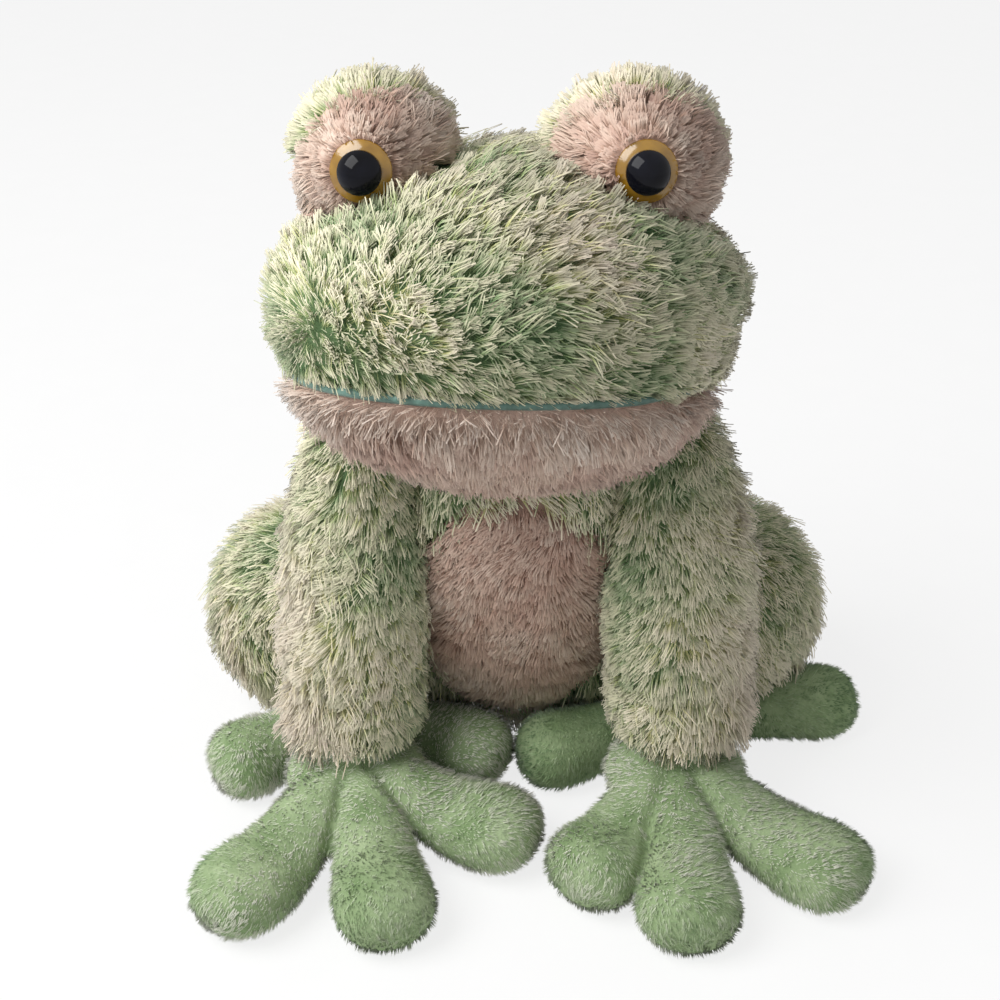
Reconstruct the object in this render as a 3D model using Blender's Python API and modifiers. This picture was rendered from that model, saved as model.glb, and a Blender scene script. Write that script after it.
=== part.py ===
"""A sitting plush frog, as it comes apart on the sewing bench.

Fur-cloth panels are sewn round loose filling, with a bean bag in the seat, a
satin strip in the mouth seam and a pair of safety eyes in the eye mounds. The
frog faces -Y, its own left side is at +X, and the middle of the flat seat is
at the origin.
"""

import bmesh
import bpy
from math import acos, atan2, cos, pi, radians, sin
from mathutils import Matrix, Vector

MM = 0.001

# Cloth, filling and fit
LONG_PILE_CLOTH = 5 * MM
SHORT_PILE_CLOTH = 3 * MM
SATIN_HEIGHT = 2.4 * MM
SATIN_PROUD = 0.6 * MM
FIT_GAP = 0.3 * MM
FILLING_GAP = 0.8 * MM
BALL_GAP = 0.95 * MM
FLOOR_FLAT = 0.5 * MM
CUT_OVERRUN = 30 * MM

# Torso, a pear that leans forward from its flat seat
TORSO_WIDTH = 111 * MM
TORSO_DEPTH = 91 * MM
TORSO_HEIGHT = 160 * MM
TORSO_LEAN = 42 * MM
TORSO_BOW = 8 * MM
TORSO_WIDTH_SHARES = (1.0, 1.06, 0.99, 0.99, 1.06)
TORSO_DEPTH_SHARES = (1.0, 1.06, 0.96, 0.82, 0.82)
TORSO_ROUNDNESS = 0.7
BELLY_WIDTH = 76 * MM
BELLY_HEIGHT = 112 * MM
BELLY_MIDDLE_HEIGHT = 82 * MM
BEAN_BAG_WIDTH = 76 * MM
BEAN_BAG_DEPTH = 62 * MM
BEAN_BAG_HEIGHT = 26 * MM
BEAN_BAG_FORWARD = 2 * MM

# Head, a wide egg on a short neck, tipped back
HEAD_WIDTH = 161 * MM
HEAD_DEPTH = 136 * MM
HEAD_HEIGHT = 113 * MM
HEAD_LIFT = 48.5 * MM
HEAD_FORWARD = 23 * MM
HEAD_SIDE_SHIFT = -4 * MM
HEAD_PITCH = radians(22)
HEAD_WIDTH_SHARES = (0.96, 1.0, 1.0, 1.0, 0.98)
MOUTH_DROP = 21 * MM
MOUTH_TILT = radians(1.2)
MOUTH_DIP = radians(4)
MOUTH_STRIP_BACK = 20 * MM
NECK_RADIUS = 30 * MM
NECK_RISE = 16 * MM
NECK_FORWARD = 8 * MM
NOD_ROOM = 4 * MM

# Eye mounds and safety eyes
MOUND_WIDTH = 57 * MM
MOUND_DIAMETER = 53 * MM
MOUND_SPACING = 83 * MM
MOUND_FORWARD = 17 * MM
MOUND_LIFT = 11.1 * MM
MOUND_SEAM_TILT = radians(20)
EYE_DIAMETER = 19.5 * MM
EYE_RIM = 1.2 * MM
EYE_DOME = 3.4 * MM
EYE_SPLAY = radians(5)
EYE_LOOK_DOWN = radians(10)
PUPIL_DIAMETER = 14.5 * MM
PUPIL_DOME = 3.6 * MM
PUPIL_SEAT = 1 * MM
SHANK_DIAMETER = 4.5 * MM
SHANK_LENGTH = 12 * MM
WASHER_DIAMETER = 14 * MM
WASHER_THICKNESS = 1.6 * MM

# Arms
SHOULDER_SEAM_DEPTH = 3 * MM
SHOULDER_GAP = 1 * MM
SHOULDER_SEAT_RADIUS = 61 * MM
SHOULDER_DROP = 22 * MM
SHOULDER_FORWARD = 44 * MM
ARM_WIDTH = 46 * MM
ARM_SHOULDER_CAP = 20 * MM
ARM_SHARES = (0.84, 0.88, 0.98, 1.0, 1.0)
ARM_ROUNDNESS = 0.55
ARM_TUCK = 1 * MM
WRIST_FORWARD = 75 * MM
WRIST_HEIGHT = 40 * MM
WRIST_SPLAY = 5 * MM
WRIST_RADIUS = 20 * MM
ARM_CUFF = 5 * MM

# Forefeet, arched palms with three long toes
PALM_WIDTH = 54 * MM
PALM_LENGTH = 48 * MM
PALM_THICKNESS = 20 * MM
PALM_MIDDLE_HEIGHT = 26 * MM
PALM_FORWARD = 12 * MM
FORE_TOE_WIDTH = 37 * MM
FORE_TOE_THICKNESS = 29 * MM
FORE_TOE_LENGTH = 81 * MM
FORE_TOE_TURNS = {
    "right": (radians(36), radians(-14), radians(-70)),
    "left": (radians(53), radians(0), radians(-40)),
}
FORE_TOE_SHARES = {
    "right": (1.0, 0.93, 0.91),
    "left": (1.0, 0.93, 0.80),
}
WRIST_OPENING_RISE = 11 * MM

# Hind legs, a round thigh sewn to each hip and a long foot under its front
HIP_SEAM_DEPTH = 3 * MM
HIP_TUCK = 3 * MM
HIP_HEIGHT = 44 * MM
THIGH_WIDTH = 74 * MM
THIGH_DEPTH = 84 * MM
THIGH_HEIGHT = 76 * MM
THIGH_DEPTH_SHARES = (0.86, 1.0, 1.02, 0.98, 0.94)
THIGH_ROUNDNESS = 0.85
ANKLE_RADIUS = 12 * MM
ANKLE_FORWARD = 33 * MM
ANKLE_HEIGHT = 22 * MM
ANKLE_TUCK = 15 * MM
ANKLE_OPENING_RISE = 6 * MM
HIND_PALM_WIDTH = 40 * MM
HIND_PALM_LENGTH = 40 * MM
HIND_PALM_THICKNESS = 22 * MM
HIND_PALM_FORWARD = 5 * MM
HIND_PALM_TUCK = 4 * MM
HIND_TOE_WIDTH = 32 * MM
HIND_TOE_THICKNESS = 30 * MM
HIND_TOE_LENGTH = 75 * MM
PRESSED_TOE_THICKNESS = 11 * MM
HIND_TOE_TURNS = {
    "right": (radians(53), radians(-10), radians(-66)),
    "left": (radians(96), radians(-4), radians(-65)),
}
HIND_TOE_SHARES = {
    "right": (0.84, 0.9, 0.94),
    "left": (0.99, 0.9, 0.96),
}
SWING_ROOM = 3 * MM
TOE_SHARES = (0.8, 0.8, 0.84, 1.12, 1.1)
TOE_ROUNDNESS = 0.6
TOE_DROP_SHARE = 0.62
TOE_ROOT_SHARE = 0.06

SIDES = (("left", 1), ("right", -1))

# Facets round and along each kind of form
BODY_FACETS = (20, 10)
LIMB_FACETS = (12, 8)
TOE_FACETS = (8, 7)
BALL_FACETS = (12, 6)
SEAT_FACETS = (16, 8)
FILLING_FACETS = (12, 7)
FOOT_FILLING_FACETS = ((6, 6), (8, 4))
TURNED_STEPS = 14
WINDOW_FACETS = 16

MOSS = (0.35, 0.46, 0.30)
CREAM = (0.72, 0.56, 0.48)
MINT = (0.42, 0.60, 0.38)
TEAL = (0.20, 0.40, 0.34)
FILLING = (0.86, 0.86, 0.83)
AMBER = (0.40, 0.17, 0.02)
BLACK = (0.01, 0.01, 0.02)
NYLON = (0.80, 0.80, 0.78)

for old in list(bpy.data.objects):
    bpy.data.objects.remove(old)

frog_parts = bpy.data.collections.new("plush_frog")
frog_cutters = bpy.data.collections.new("plush_frog_cutters")
bpy.context.scene.collection.children.link(frog_parts)
bpy.context.scene.collection.children.link(frog_cutters)


def material(name, colour, roughness):
    """A plain finish with its colour and roughness."""
    finish = bpy.data.materials.new(name)
    finish.use_nodes = True
    shader = finish.node_tree.nodes["Principled BSDF"]
    shader.inputs["Base Color"].default_value = (*colour, 1)
    shader.inputs["Roughness"].default_value = roughness
    shader.inputs["Metallic"].default_value = 0
    return finish


def finished_mesh(name, shape):
    """Turns the edited shape into a mesh with its faces pointing out."""
    shape.normal_update()
    bmesh.ops.recalc_face_normals(shape, faces=shape.faces)
    mesh = bpy.data.meshes.new(name)
    shape.to_mesh(mesh)
    shape.free()
    mesh.shade_smooth()
    return mesh


def add_piece(name, mesh, colour, roughness=0.9, origin=(0, 0, 0)):
    """One piece of the frog, with its own finish and its origin where it turns."""
    mesh.transform(Matrix.Translation(-Vector(origin)))
    piece = bpy.data.objects.new(name, mesh)
    piece.location = origin
    mesh.materials.append(material(name, colour, roughness))
    frog_parts.objects.link(piece)
    return piece


def add_cutter(name, mesh):
    """A shape that only cuts or joins others."""
    cutter = bpy.data.objects.new(name, mesh)
    cutter.hide_render = True
    cutter.display_type = "WIRE"
    frog_cutters.objects.link(cutter)
    return cutter


def combine(piece, operation, *others):
    """Cuts, joins or keeps what the piece shares with the others, in turn."""
    for other in others:
        modifier = piece.modifiers.new(other.name, "BOOLEAN")
        modifier.operation = operation
        modifier.solver = "EXACT"
        modifier.object = other


def swell(shares, place):
    """A smooth curve through evenly spaced shares, read at a place from 0 to 1."""
    last = len(shares) - 1
    index = min(int(place * last), last - 1)
    step = place * last - index
    before = shares[max(index - 1, 0)]
    here = shares[index]
    following = shares[index + 1]
    after = shares[min(index + 2, last)]
    bend = 2 * before - 5 * here + 4 * following - after
    twist = 3 * (here - following) + after - before
    return here + step * (following - before + step * (bend + step * twist)) / 2


def girth(place, roundness, shares):
    """How wide a form is at a place along its path, before it is scaled to its size."""
    return max(sin(pi * place), 0) ** roundness * swell(shares, place)


def fullest(rings, roundness, shares):
    """The widest that a form's rings come, which its stated size is measured at."""
    return max(girth(ring / rings, roundness, shares) for ring in range(1, rings))


def stuffed_form(name, path, wide, deep, facets, grow=0, roundness=1,
                 wide_shares=(1, 1), deep_shares=(1, 1), frame=None):
    """A closed form that swells and tapers along a path.

    The rings of a sphere are laid along path(0) to path(1), spaced as on the
    sphere. Each ring is as wide and deep as its girth there, which reaches the
    half vectors wide and deep at the fullest ring. Grow adds to both half
    vectors and to both ends of the path.
    """
    shape = bmesh.new()
    bmesh.ops.create_uvsphere(shape, u_segments=facets[0], v_segments=facets[1], radius=1)
    along = (path(1) - path(0)).normalized()
    wide = (wide + wide.normalized() * grow) / fullest(facets[1], roundness, wide_shares)
    deep = (deep + deep.normalized() * grow) / fullest(facets[1], roundness, deep_shares)
    for vert in shape.verts:
        ring = Vector((vert.co.x, vert.co.y))
        polar = atan2(ring.length, -vert.co.z)
        place = polar / pi
        if ring.length > 0:
            ring.normalize()
        vert.co = (path((1 - cos(polar)) / 2) - along * grow * cos(polar)
                   + wide * ring.x * girth(place, roundness, wide_shares)
                   + deep * ring.y * girth(place, roundness, deep_shares))
    if frame is not None:
        bmesh.ops.transform(shape, matrix=frame, verts=shape.verts)
    return finished_mesh(name, shape)


def straight(start, end):
    """A straight path between two points."""
    return lambda share: start.lerp(end, share)


def egg(name, centre, size, facets, grow=0, **form):
    """A stuffed form about a centre, with its size along X, Y and Z."""
    width, depth, height = size
    rise = Vector((0, 0, height / 2))
    return stuffed_form(name, straight(centre - rise, centre + rise),
                        Vector((width / 2, 0, 0)), Vector((0, depth / 2, 0)),
                        facets, grow, **form)


def ball(name, centre, radius, axis, facets=BALL_FACETS):
    """A ball whose poles lie on the axis that it turns about."""
    wide = Vector((0, 0, radius))
    deep = axis.cross(wide)
    return stuffed_form(name, straight(centre - axis * radius, centre + axis * radius),
                        wide, deep, facets)


def box(name, low, high):
    """A box between its lowest and highest corners."""
    shape = bmesh.new()
    bmesh.ops.create_cube(shape, size=1)
    low, high = Vector(low), Vector(high)
    size = high - low
    middle = (low + high) / 2
    bmesh.ops.transform(shape, verts=shape.verts,
                        matrix=Matrix.Translation(middle) @ Matrix.Diagonal((*size, 1)))
    return finished_mesh(name, shape)


def window(name, centre, width, height, depth):
    """An oval plug that runs forward from its centre, for a panel let in at the front."""
    shape = bmesh.new()
    bmesh.ops.create_cone(shape, cap_ends=True, segments=WINDOW_FACETS,
                          radius1=1, radius2=1, depth=1)
    turn = Matrix.Rotation(pi / 2, 4, "X") @ Matrix.Rotation(pi / WINDOW_FACETS, 4, "Z")
    size = Matrix.Diagonal((width / 2, depth, height / 2, 1))
    middle = centre - Vector((0, depth / 2, 0))
    bmesh.ops.transform(shape, matrix=Matrix.Translation(middle) @ size @ turn,
                        verts=shape.verts)
    return finished_mesh(name, shape)


def turned(name, profile, frame):
    """A turned piece from (radius, height) points, outer side first, top to bottom."""
    shape = bmesh.new()
    points = [shape.verts.new((radius, 0, height)) for radius, height in profile]
    for start, end in zip(points, points[1:]):
        shape.edges.new((start, end))
    mesh = bpy.data.meshes.new(name)
    shape.to_mesh(mesh)
    shape.free()
    guide = add_cutter(name + "_profile", mesh)
    screw = guide.modifiers.new("turn", "SCREW")
    screw.steps = TURNED_STEPS
    screw.render_steps = TURNED_STEPS
    screw.use_merge_vertices = True
    screw.merge_threshold = FIT_GAP / 10
    evaluated = guide.evaluated_get(bpy.context.evaluated_depsgraph_get())
    solid = bpy.data.meshes.new_from_object(evaluated)
    bpy.data.objects.remove(guide)
    shape = bmesh.new()
    shape.from_mesh(solid)
    bmesh.ops.remove_doubles(shape, verts=shape.verts, dist=FIT_GAP / 10)
    bmesh.ops.transform(shape, matrix=frame, verts=shape.verts)
    return finished_mesh(name, shape)


# Places worked out from the sizes above
across = Vector((1, 0, 0))
neck = Vector((0, -TORSO_LEAN - NECK_FORWARD, TORSO_HEIGHT + NECK_RISE))
head_centre = Vector((HEAD_SIDE_SHIFT, -TORSO_LEAN - HEAD_FORWARD, TORSO_HEIGHT + HEAD_LIFT))
head_frame = Matrix.Translation(head_centre) @ Matrix.Rotation(-HEAD_PITCH, 4, "X")
mouth_frame = (head_frame @ Matrix.Translation(Vector((0, 0, -MOUTH_DROP)))
               @ Matrix.Rotation(MOUTH_DIP, 4, "X") @ Matrix.Rotation(MOUTH_TILT, 4, "Y"))
reach = HEAD_WIDTH + CUT_OVERRUN


def half_width_at(share, size, rings, roundness, shares):
    """Half of a form's width at a share of the length of its path."""
    place = acos(1 - 2 * share) / pi
    return size / 2 * girth(place, roundness, shares) / fullest(rings, roundness, shares)


shoulder_height = TORSO_HEIGHT - SHOULDER_DROP
shoulder_x = half_width_at(shoulder_height / TORSO_HEIGHT, TORSO_WIDTH, BODY_FACETS[1],
                           TORSO_ROUNDNESS, TORSO_WIDTH_SHARES) - SHOULDER_SEAM_DEPTH
arm_length = shoulder_height + ARM_SHOULDER_CAP - WRIST_HEIGHT + ARM_CUFF
arm_x = shoulder_x - ARM_TUCK + half_width_at(
    ARM_SHOULDER_CAP / arm_length, ARM_WIDTH, LIMB_FACETS[1], ARM_ROUNDNESS, ARM_SHARES)
hip_x = TORSO_WIDTH / 2 - HIP_SEAM_DEPTH
thigh_x = hip_x - HIP_TUCK + THIGH_WIDTH / 2
eye_front = MOUND_FORWARD + MOUND_DIAMETER / 3
mound_rise = MOUND_LIFT + HEAD_HEIGHT / 2 * (
    1 - (MOUND_SPACING / HEAD_WIDTH) ** 2 - (2 * eye_front / HEAD_DEPTH) ** 2) ** 0.5


def torso_path(share):
    """Up from the seat and forward, hollow-backed by the bow."""
    lean = TORSO_LEAN * share + TORSO_BOW * 4 * share * (1 - share) * (share - 0.5)
    return Vector((0, -lean, TORSO_HEIGHT * share - FLOOR_FLAT))


def torso_form(name, grow=0, facets=BODY_FACETS):
    return stuffed_form(name, torso_path, Vector((TORSO_WIDTH / 2, 0, 0)),
                        Vector((0, TORSO_DEPTH / 2, 0)), facets, grow, TORSO_ROUNDNESS,
                        TORSO_WIDTH_SHARES, TORSO_DEPTH_SHARES)


def head_form(name, grow=0, facets=BODY_FACETS):
    return egg(name, Vector(), (HEAD_WIDTH, HEAD_DEPTH, HEAD_HEIGHT), facets, grow,
               wide_shares=HEAD_WIDTH_SHARES, frame=head_frame)


def mouth_box(name, low, high):
    """A box set by its heights over the mouth's plane."""
    mesh = box(name, low, high)
    mesh.transform(mouth_frame)
    return mesh


def arm_form(name, sign, grow=0, facets=LIMB_FACETS):
    """An arm hangs from the shoulder to just below the wrist's middle."""
    top = Vector((sign * arm_x, -SHOULDER_FORWARD, shoulder_height + ARM_SHOULDER_CAP))
    bottom = Vector((sign * (arm_x + WRIST_SPLAY), -WRIST_FORWARD, WRIST_HEIGHT - ARM_CUFF))
    return stuffed_form(name, straight(top, bottom), Vector((ARM_WIDTH / 2, 0, 0)),
                        Vector((0, ARM_WIDTH / 2, 0)), facets, grow, ARM_ROUNDNESS,
                        ARM_SHARES, ARM_SHARES)


def shoulder_seat(name, sign, grow=0):
    """The shallow round hollow in the torso that an arm swings in."""
    centre = Vector((sign * (shoulder_x + SHOULDER_SEAT_RADIUS), -SHOULDER_FORWARD,
                     shoulder_height))
    return ball(name, centre, SHOULDER_SEAT_RADIUS + grow, across, SEAT_FACETS)


def thigh_form(name, sign, grow=0, facets=LIMB_FACETS):
    return egg(name, Vector((sign * thigh_x, 0, HIP_HEIGHT)),
               (THIGH_WIDTH, THIGH_DEPTH, THIGH_HEIGHT), facets, grow,
               roundness=THIGH_ROUNDNESS, deep_shares=THIGH_DEPTH_SHARES)


def toe_form(name, root, sign, turn, length, width, thickness, grow, facets):
    """A toe runs out from its palm, comes down to the floor and ends in a round bulb."""
    along = Vector((sign * sin(turn), -cos(turn), 0))
    sole = thickness / 2 - FLOOR_FLAT
    root = root + along * length * TOE_ROOT_SHARE
    length = length * (1 - TOE_ROOT_SHARE)
    mid = root.z

    def path(share):
        fall = min(share / TOE_DROP_SHARE, 1)
        fall = fall * fall * (3 - 2 * fall)
        return Vector((root.x, root.y, mid + (sole - mid) * fall)) + along * length * share

    aside = along.cross(Vector((0, 0, 1))) * width / 2
    up = Vector((0, 0, thickness / 2))
    return stuffed_form(name, path, aside, up, facets, grow, TOE_ROUNDNESS,
                        TOE_SHARES, TOE_SHARES)


def forefoot_forms(side, sign, name, grow=0, facets=TOE_FACETS, ball_facets=BALL_FACETS):
    """The palm, the three toes and the ball of the wrist."""
    wrist = wrists[side]
    palm = wrist + Vector((0, -PALM_FORWARD, PALM_MIDDLE_HEIGHT - wrist.z))
    meshes = [egg(f"{name}_palm", palm, (PALM_WIDTH, PALM_LENGTH, PALM_THICKNESS),
                  facets, grow)]
    for index, turn in enumerate(FORE_TOE_TURNS[side]):
        length = FORE_TOE_LENGTH * FORE_TOE_SHARES[side][index]
        meshes.append(toe_form(f"{name}_toe_{index}", palm, sign, turn, length, FORE_TOE_WIDTH,
                               FORE_TOE_THICKNESS, grow, facets))
    meshes.append(ball(f"{name}_ball", wrist, WRIST_RADIUS + grow, across, ball_facets))
    return meshes


def hindfoot_forms(side, sign, name, grow=0, facets=TOE_FACETS, ball_facets=BALL_FACETS):
    """The palm, the three toes and the ball of the ankle; the middle toe is pressed flat."""
    ankle = ankles[side]
    palm = ankle + Vector((-sign * HIND_PALM_TUCK, -HIND_PALM_FORWARD,
                           HIND_PALM_THICKNESS / 2 - FLOOR_FLAT - ankle.z))
    meshes = [egg(f"{name}_palm", palm,
                  (HIND_PALM_WIDTH, HIND_PALM_LENGTH, HIND_PALM_THICKNESS), facets, grow)]
    for index, turn in enumerate(HIND_TOE_TURNS[side]):
        length = HIND_TOE_LENGTH * HIND_TOE_SHARES[side][index]
        thickness = PRESSED_TOE_THICKNESS if index == 1 else HIND_TOE_THICKNESS
        root = palm.copy()
        root.z = thickness / 2 - FLOOR_FLAT
        meshes.append(toe_form(f"{name}_toe_{index}", root, sign, turn, length,
                               HIND_TOE_WIDTH, thickness, grow, facets))
    meshes.append(ball(f"{name}_ball", ankle, ANKLE_RADIUS + grow, across, ball_facets))
    return meshes


def joined_cutter(meshes):
    """One cutter from forms that run into each other."""
    cutters = [add_cutter(mesh.name, mesh) for mesh in meshes]
    combine(cutters[0], "UNION", *cutters[1:])
    return cutters[0]


def joined_piece(name, meshes, colour, origin):
    """One piece from forms that run into each other."""
    others = [add_cutter(mesh.name + "_joined", mesh) for mesh in meshes[1:]]
    piece = add_piece(name, meshes[0], colour, origin=origin)
    combine(piece, "UNION", *others)
    return piece


wrists = {side: Vector((sign * (arm_x + WRIST_SPLAY), -WRIST_FORWARD, WRIST_HEIGHT))
          for side, sign in SIDES}
ankles = {side: Vector((sign * (thigh_x - ANKLE_TUCK), -ANKLE_FORWARD, ANKLE_HEIGHT))
          for side, sign in SIDES}
floor = add_cutter("floor", box("floor", (-reach, -reach, -reach), (reach, reach, 0)))
neck_socket = add_cutter("neck_socket",
                         ball("neck_socket", neck, NECK_RADIUS + BALL_GAP, across))
head_room = add_cutter("head_room", head_form("head_room", NOD_ROOM))

# Torso: the green back panel, the oval belly panel and what they hold
torso_cavity = add_cutter("torso_cavity",
                          torso_form("torso_cavity", -LONG_PILE_CLOTH, FILLING_FACETS))
belly_middle = Vector((0, -TORSO_LEAN / 2, BELLY_MIDDLE_HEIGHT))
belly_hole = add_cutter("belly_hole", window(
    "belly_hole", belly_middle, BELLY_WIDTH + FIT_GAP, BELLY_HEIGHT + FIT_GAP, reach))
belly_plug = add_cutter("belly_plug", window(
    "belly_plug", belly_middle, BELLY_WIDTH - FIT_GAP, BELLY_HEIGHT - FIT_GAP, reach))
seam_cutters = []
for side, sign in SIDES:
    seam_cutters.append(add_cutter(f"shoulder_seat_{side}", shoulder_seat(
        f"shoulder_seat_{side}", sign)))
    inner = hip_x - FIT_GAP / 2
    seam_cutters.append(add_cutter(f"hip_seam_{side}", box(
        f"hip_seam_{side}", (min(sign * inner, sign * reach), -reach, -reach),
        (max(sign * inner, sign * reach), reach, reach))))

torso_back = add_piece("torso_back_panel", torso_form("torso_back_panel"), MOSS)
combine(torso_back, "DIFFERENCE", torso_cavity, belly_hole, neck_socket, head_room, floor,
        *seam_cutters)
belly = add_piece("belly_panel", torso_form("belly_panel"), CREAM)
combine(belly, "DIFFERENCE", torso_cavity)
combine(belly, "INTERSECT", belly_plug)
combine(belly, "DIFFERENCE", neck_socket, head_room)

torso_filling_room = LONG_PILE_CLOTH + FILLING_GAP
bean_size = (BEAN_BAG_WIDTH, BEAN_BAG_DEPTH, BEAN_BAG_HEIGHT)
bean_middle = Vector((0, -BEAN_BAG_FORWARD, LONG_PILE_CLOTH + BEAN_BAG_HEIGHT / 2))
bean_bag = add_piece("seat_bean_bag", egg("seat_bean_bag", bean_middle, bean_size,
                                          FILLING_FACETS), NYLON)
bean_room = add_cutter("bean_room", egg("bean_room", bean_middle, bean_size,
                                        FILLING_FACETS, FILLING_GAP))
bean_limit = add_cutter("bean_limit",
                        torso_form("bean_limit", -torso_filling_room, FILLING_FACETS))
combine(bean_bag, "INTERSECT", bean_limit)
torso_filling = add_piece("torso_stuffing", torso_form(
    "torso_stuffing", -torso_filling_room, FILLING_FACETS), FILLING)
combine(torso_filling, "DIFFERENCE", bean_room, neck_socket, head_room)

# Head: crown and jaw panels that meet at the mouth, the satin strip between them
head_cavity = add_cutter("head_cavity",
                         head_form("head_cavity", -LONG_PILE_CLOTH, FILLING_FACETS))
strip_slot = SATIN_HEIGHT / 2 + FIT_GAP
mouth_slot = add_cutter("mouth_slot", mouth_box(
    "mouth_slot", (-reach, -reach, -strip_slot),
    (reach, MOUTH_STRIP_BACK + FIT_GAP, strip_slot)))
mouth_band = add_cutter("mouth_band", mouth_box(
    "mouth_band", (-reach, -reach, -SATIN_HEIGHT / 2),
    (reach, MOUTH_STRIP_BACK, SATIN_HEIGHT / 2)))
below_mouth = add_cutter("below_mouth", mouth_box(
    "below_mouth", (-reach, -reach, -reach), (reach, reach, FIT_GAP / 2)))
above_mouth = add_cutter("above_mouth", mouth_box(
    "above_mouth", (-reach, -reach, -FIT_GAP / 2), (reach, reach, reach)))

crown = add_piece("head_crown_panel", head_form("head_crown_panel"), MOSS, origin=neck)
combine(crown, "DIFFERENCE", head_cavity, below_mouth, mouth_slot)
jaw = add_piece("jaw_panel", head_form("jaw_panel"), CREAM, origin=neck)
combine(jaw, "DIFFERENCE", head_cavity, above_mouth, mouth_slot, neck_socket)
strip = add_piece("mouth_satin_strip", head_form("mouth_satin_strip", SATIN_PROUD), TEAL,
                  0.4, origin=neck)
combine(strip, "DIFFERENCE", head_cavity)
combine(strip, "INTERSECT", mouth_band)

head_filling = add_piece("head_stuffing", head_form(
    "head_stuffing", -LONG_PILE_CLOTH - FILLING_GAP, FILLING_FACETS), FILLING, origin=neck)
neck_ball = add_cutter("neck_ball", ball("neck_ball", neck, NECK_RADIUS, across))
combine(head_filling, "UNION", neck_ball)
head_seat = add_cutter("head_seat", head_form("head_seat", FIT_GAP))

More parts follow.
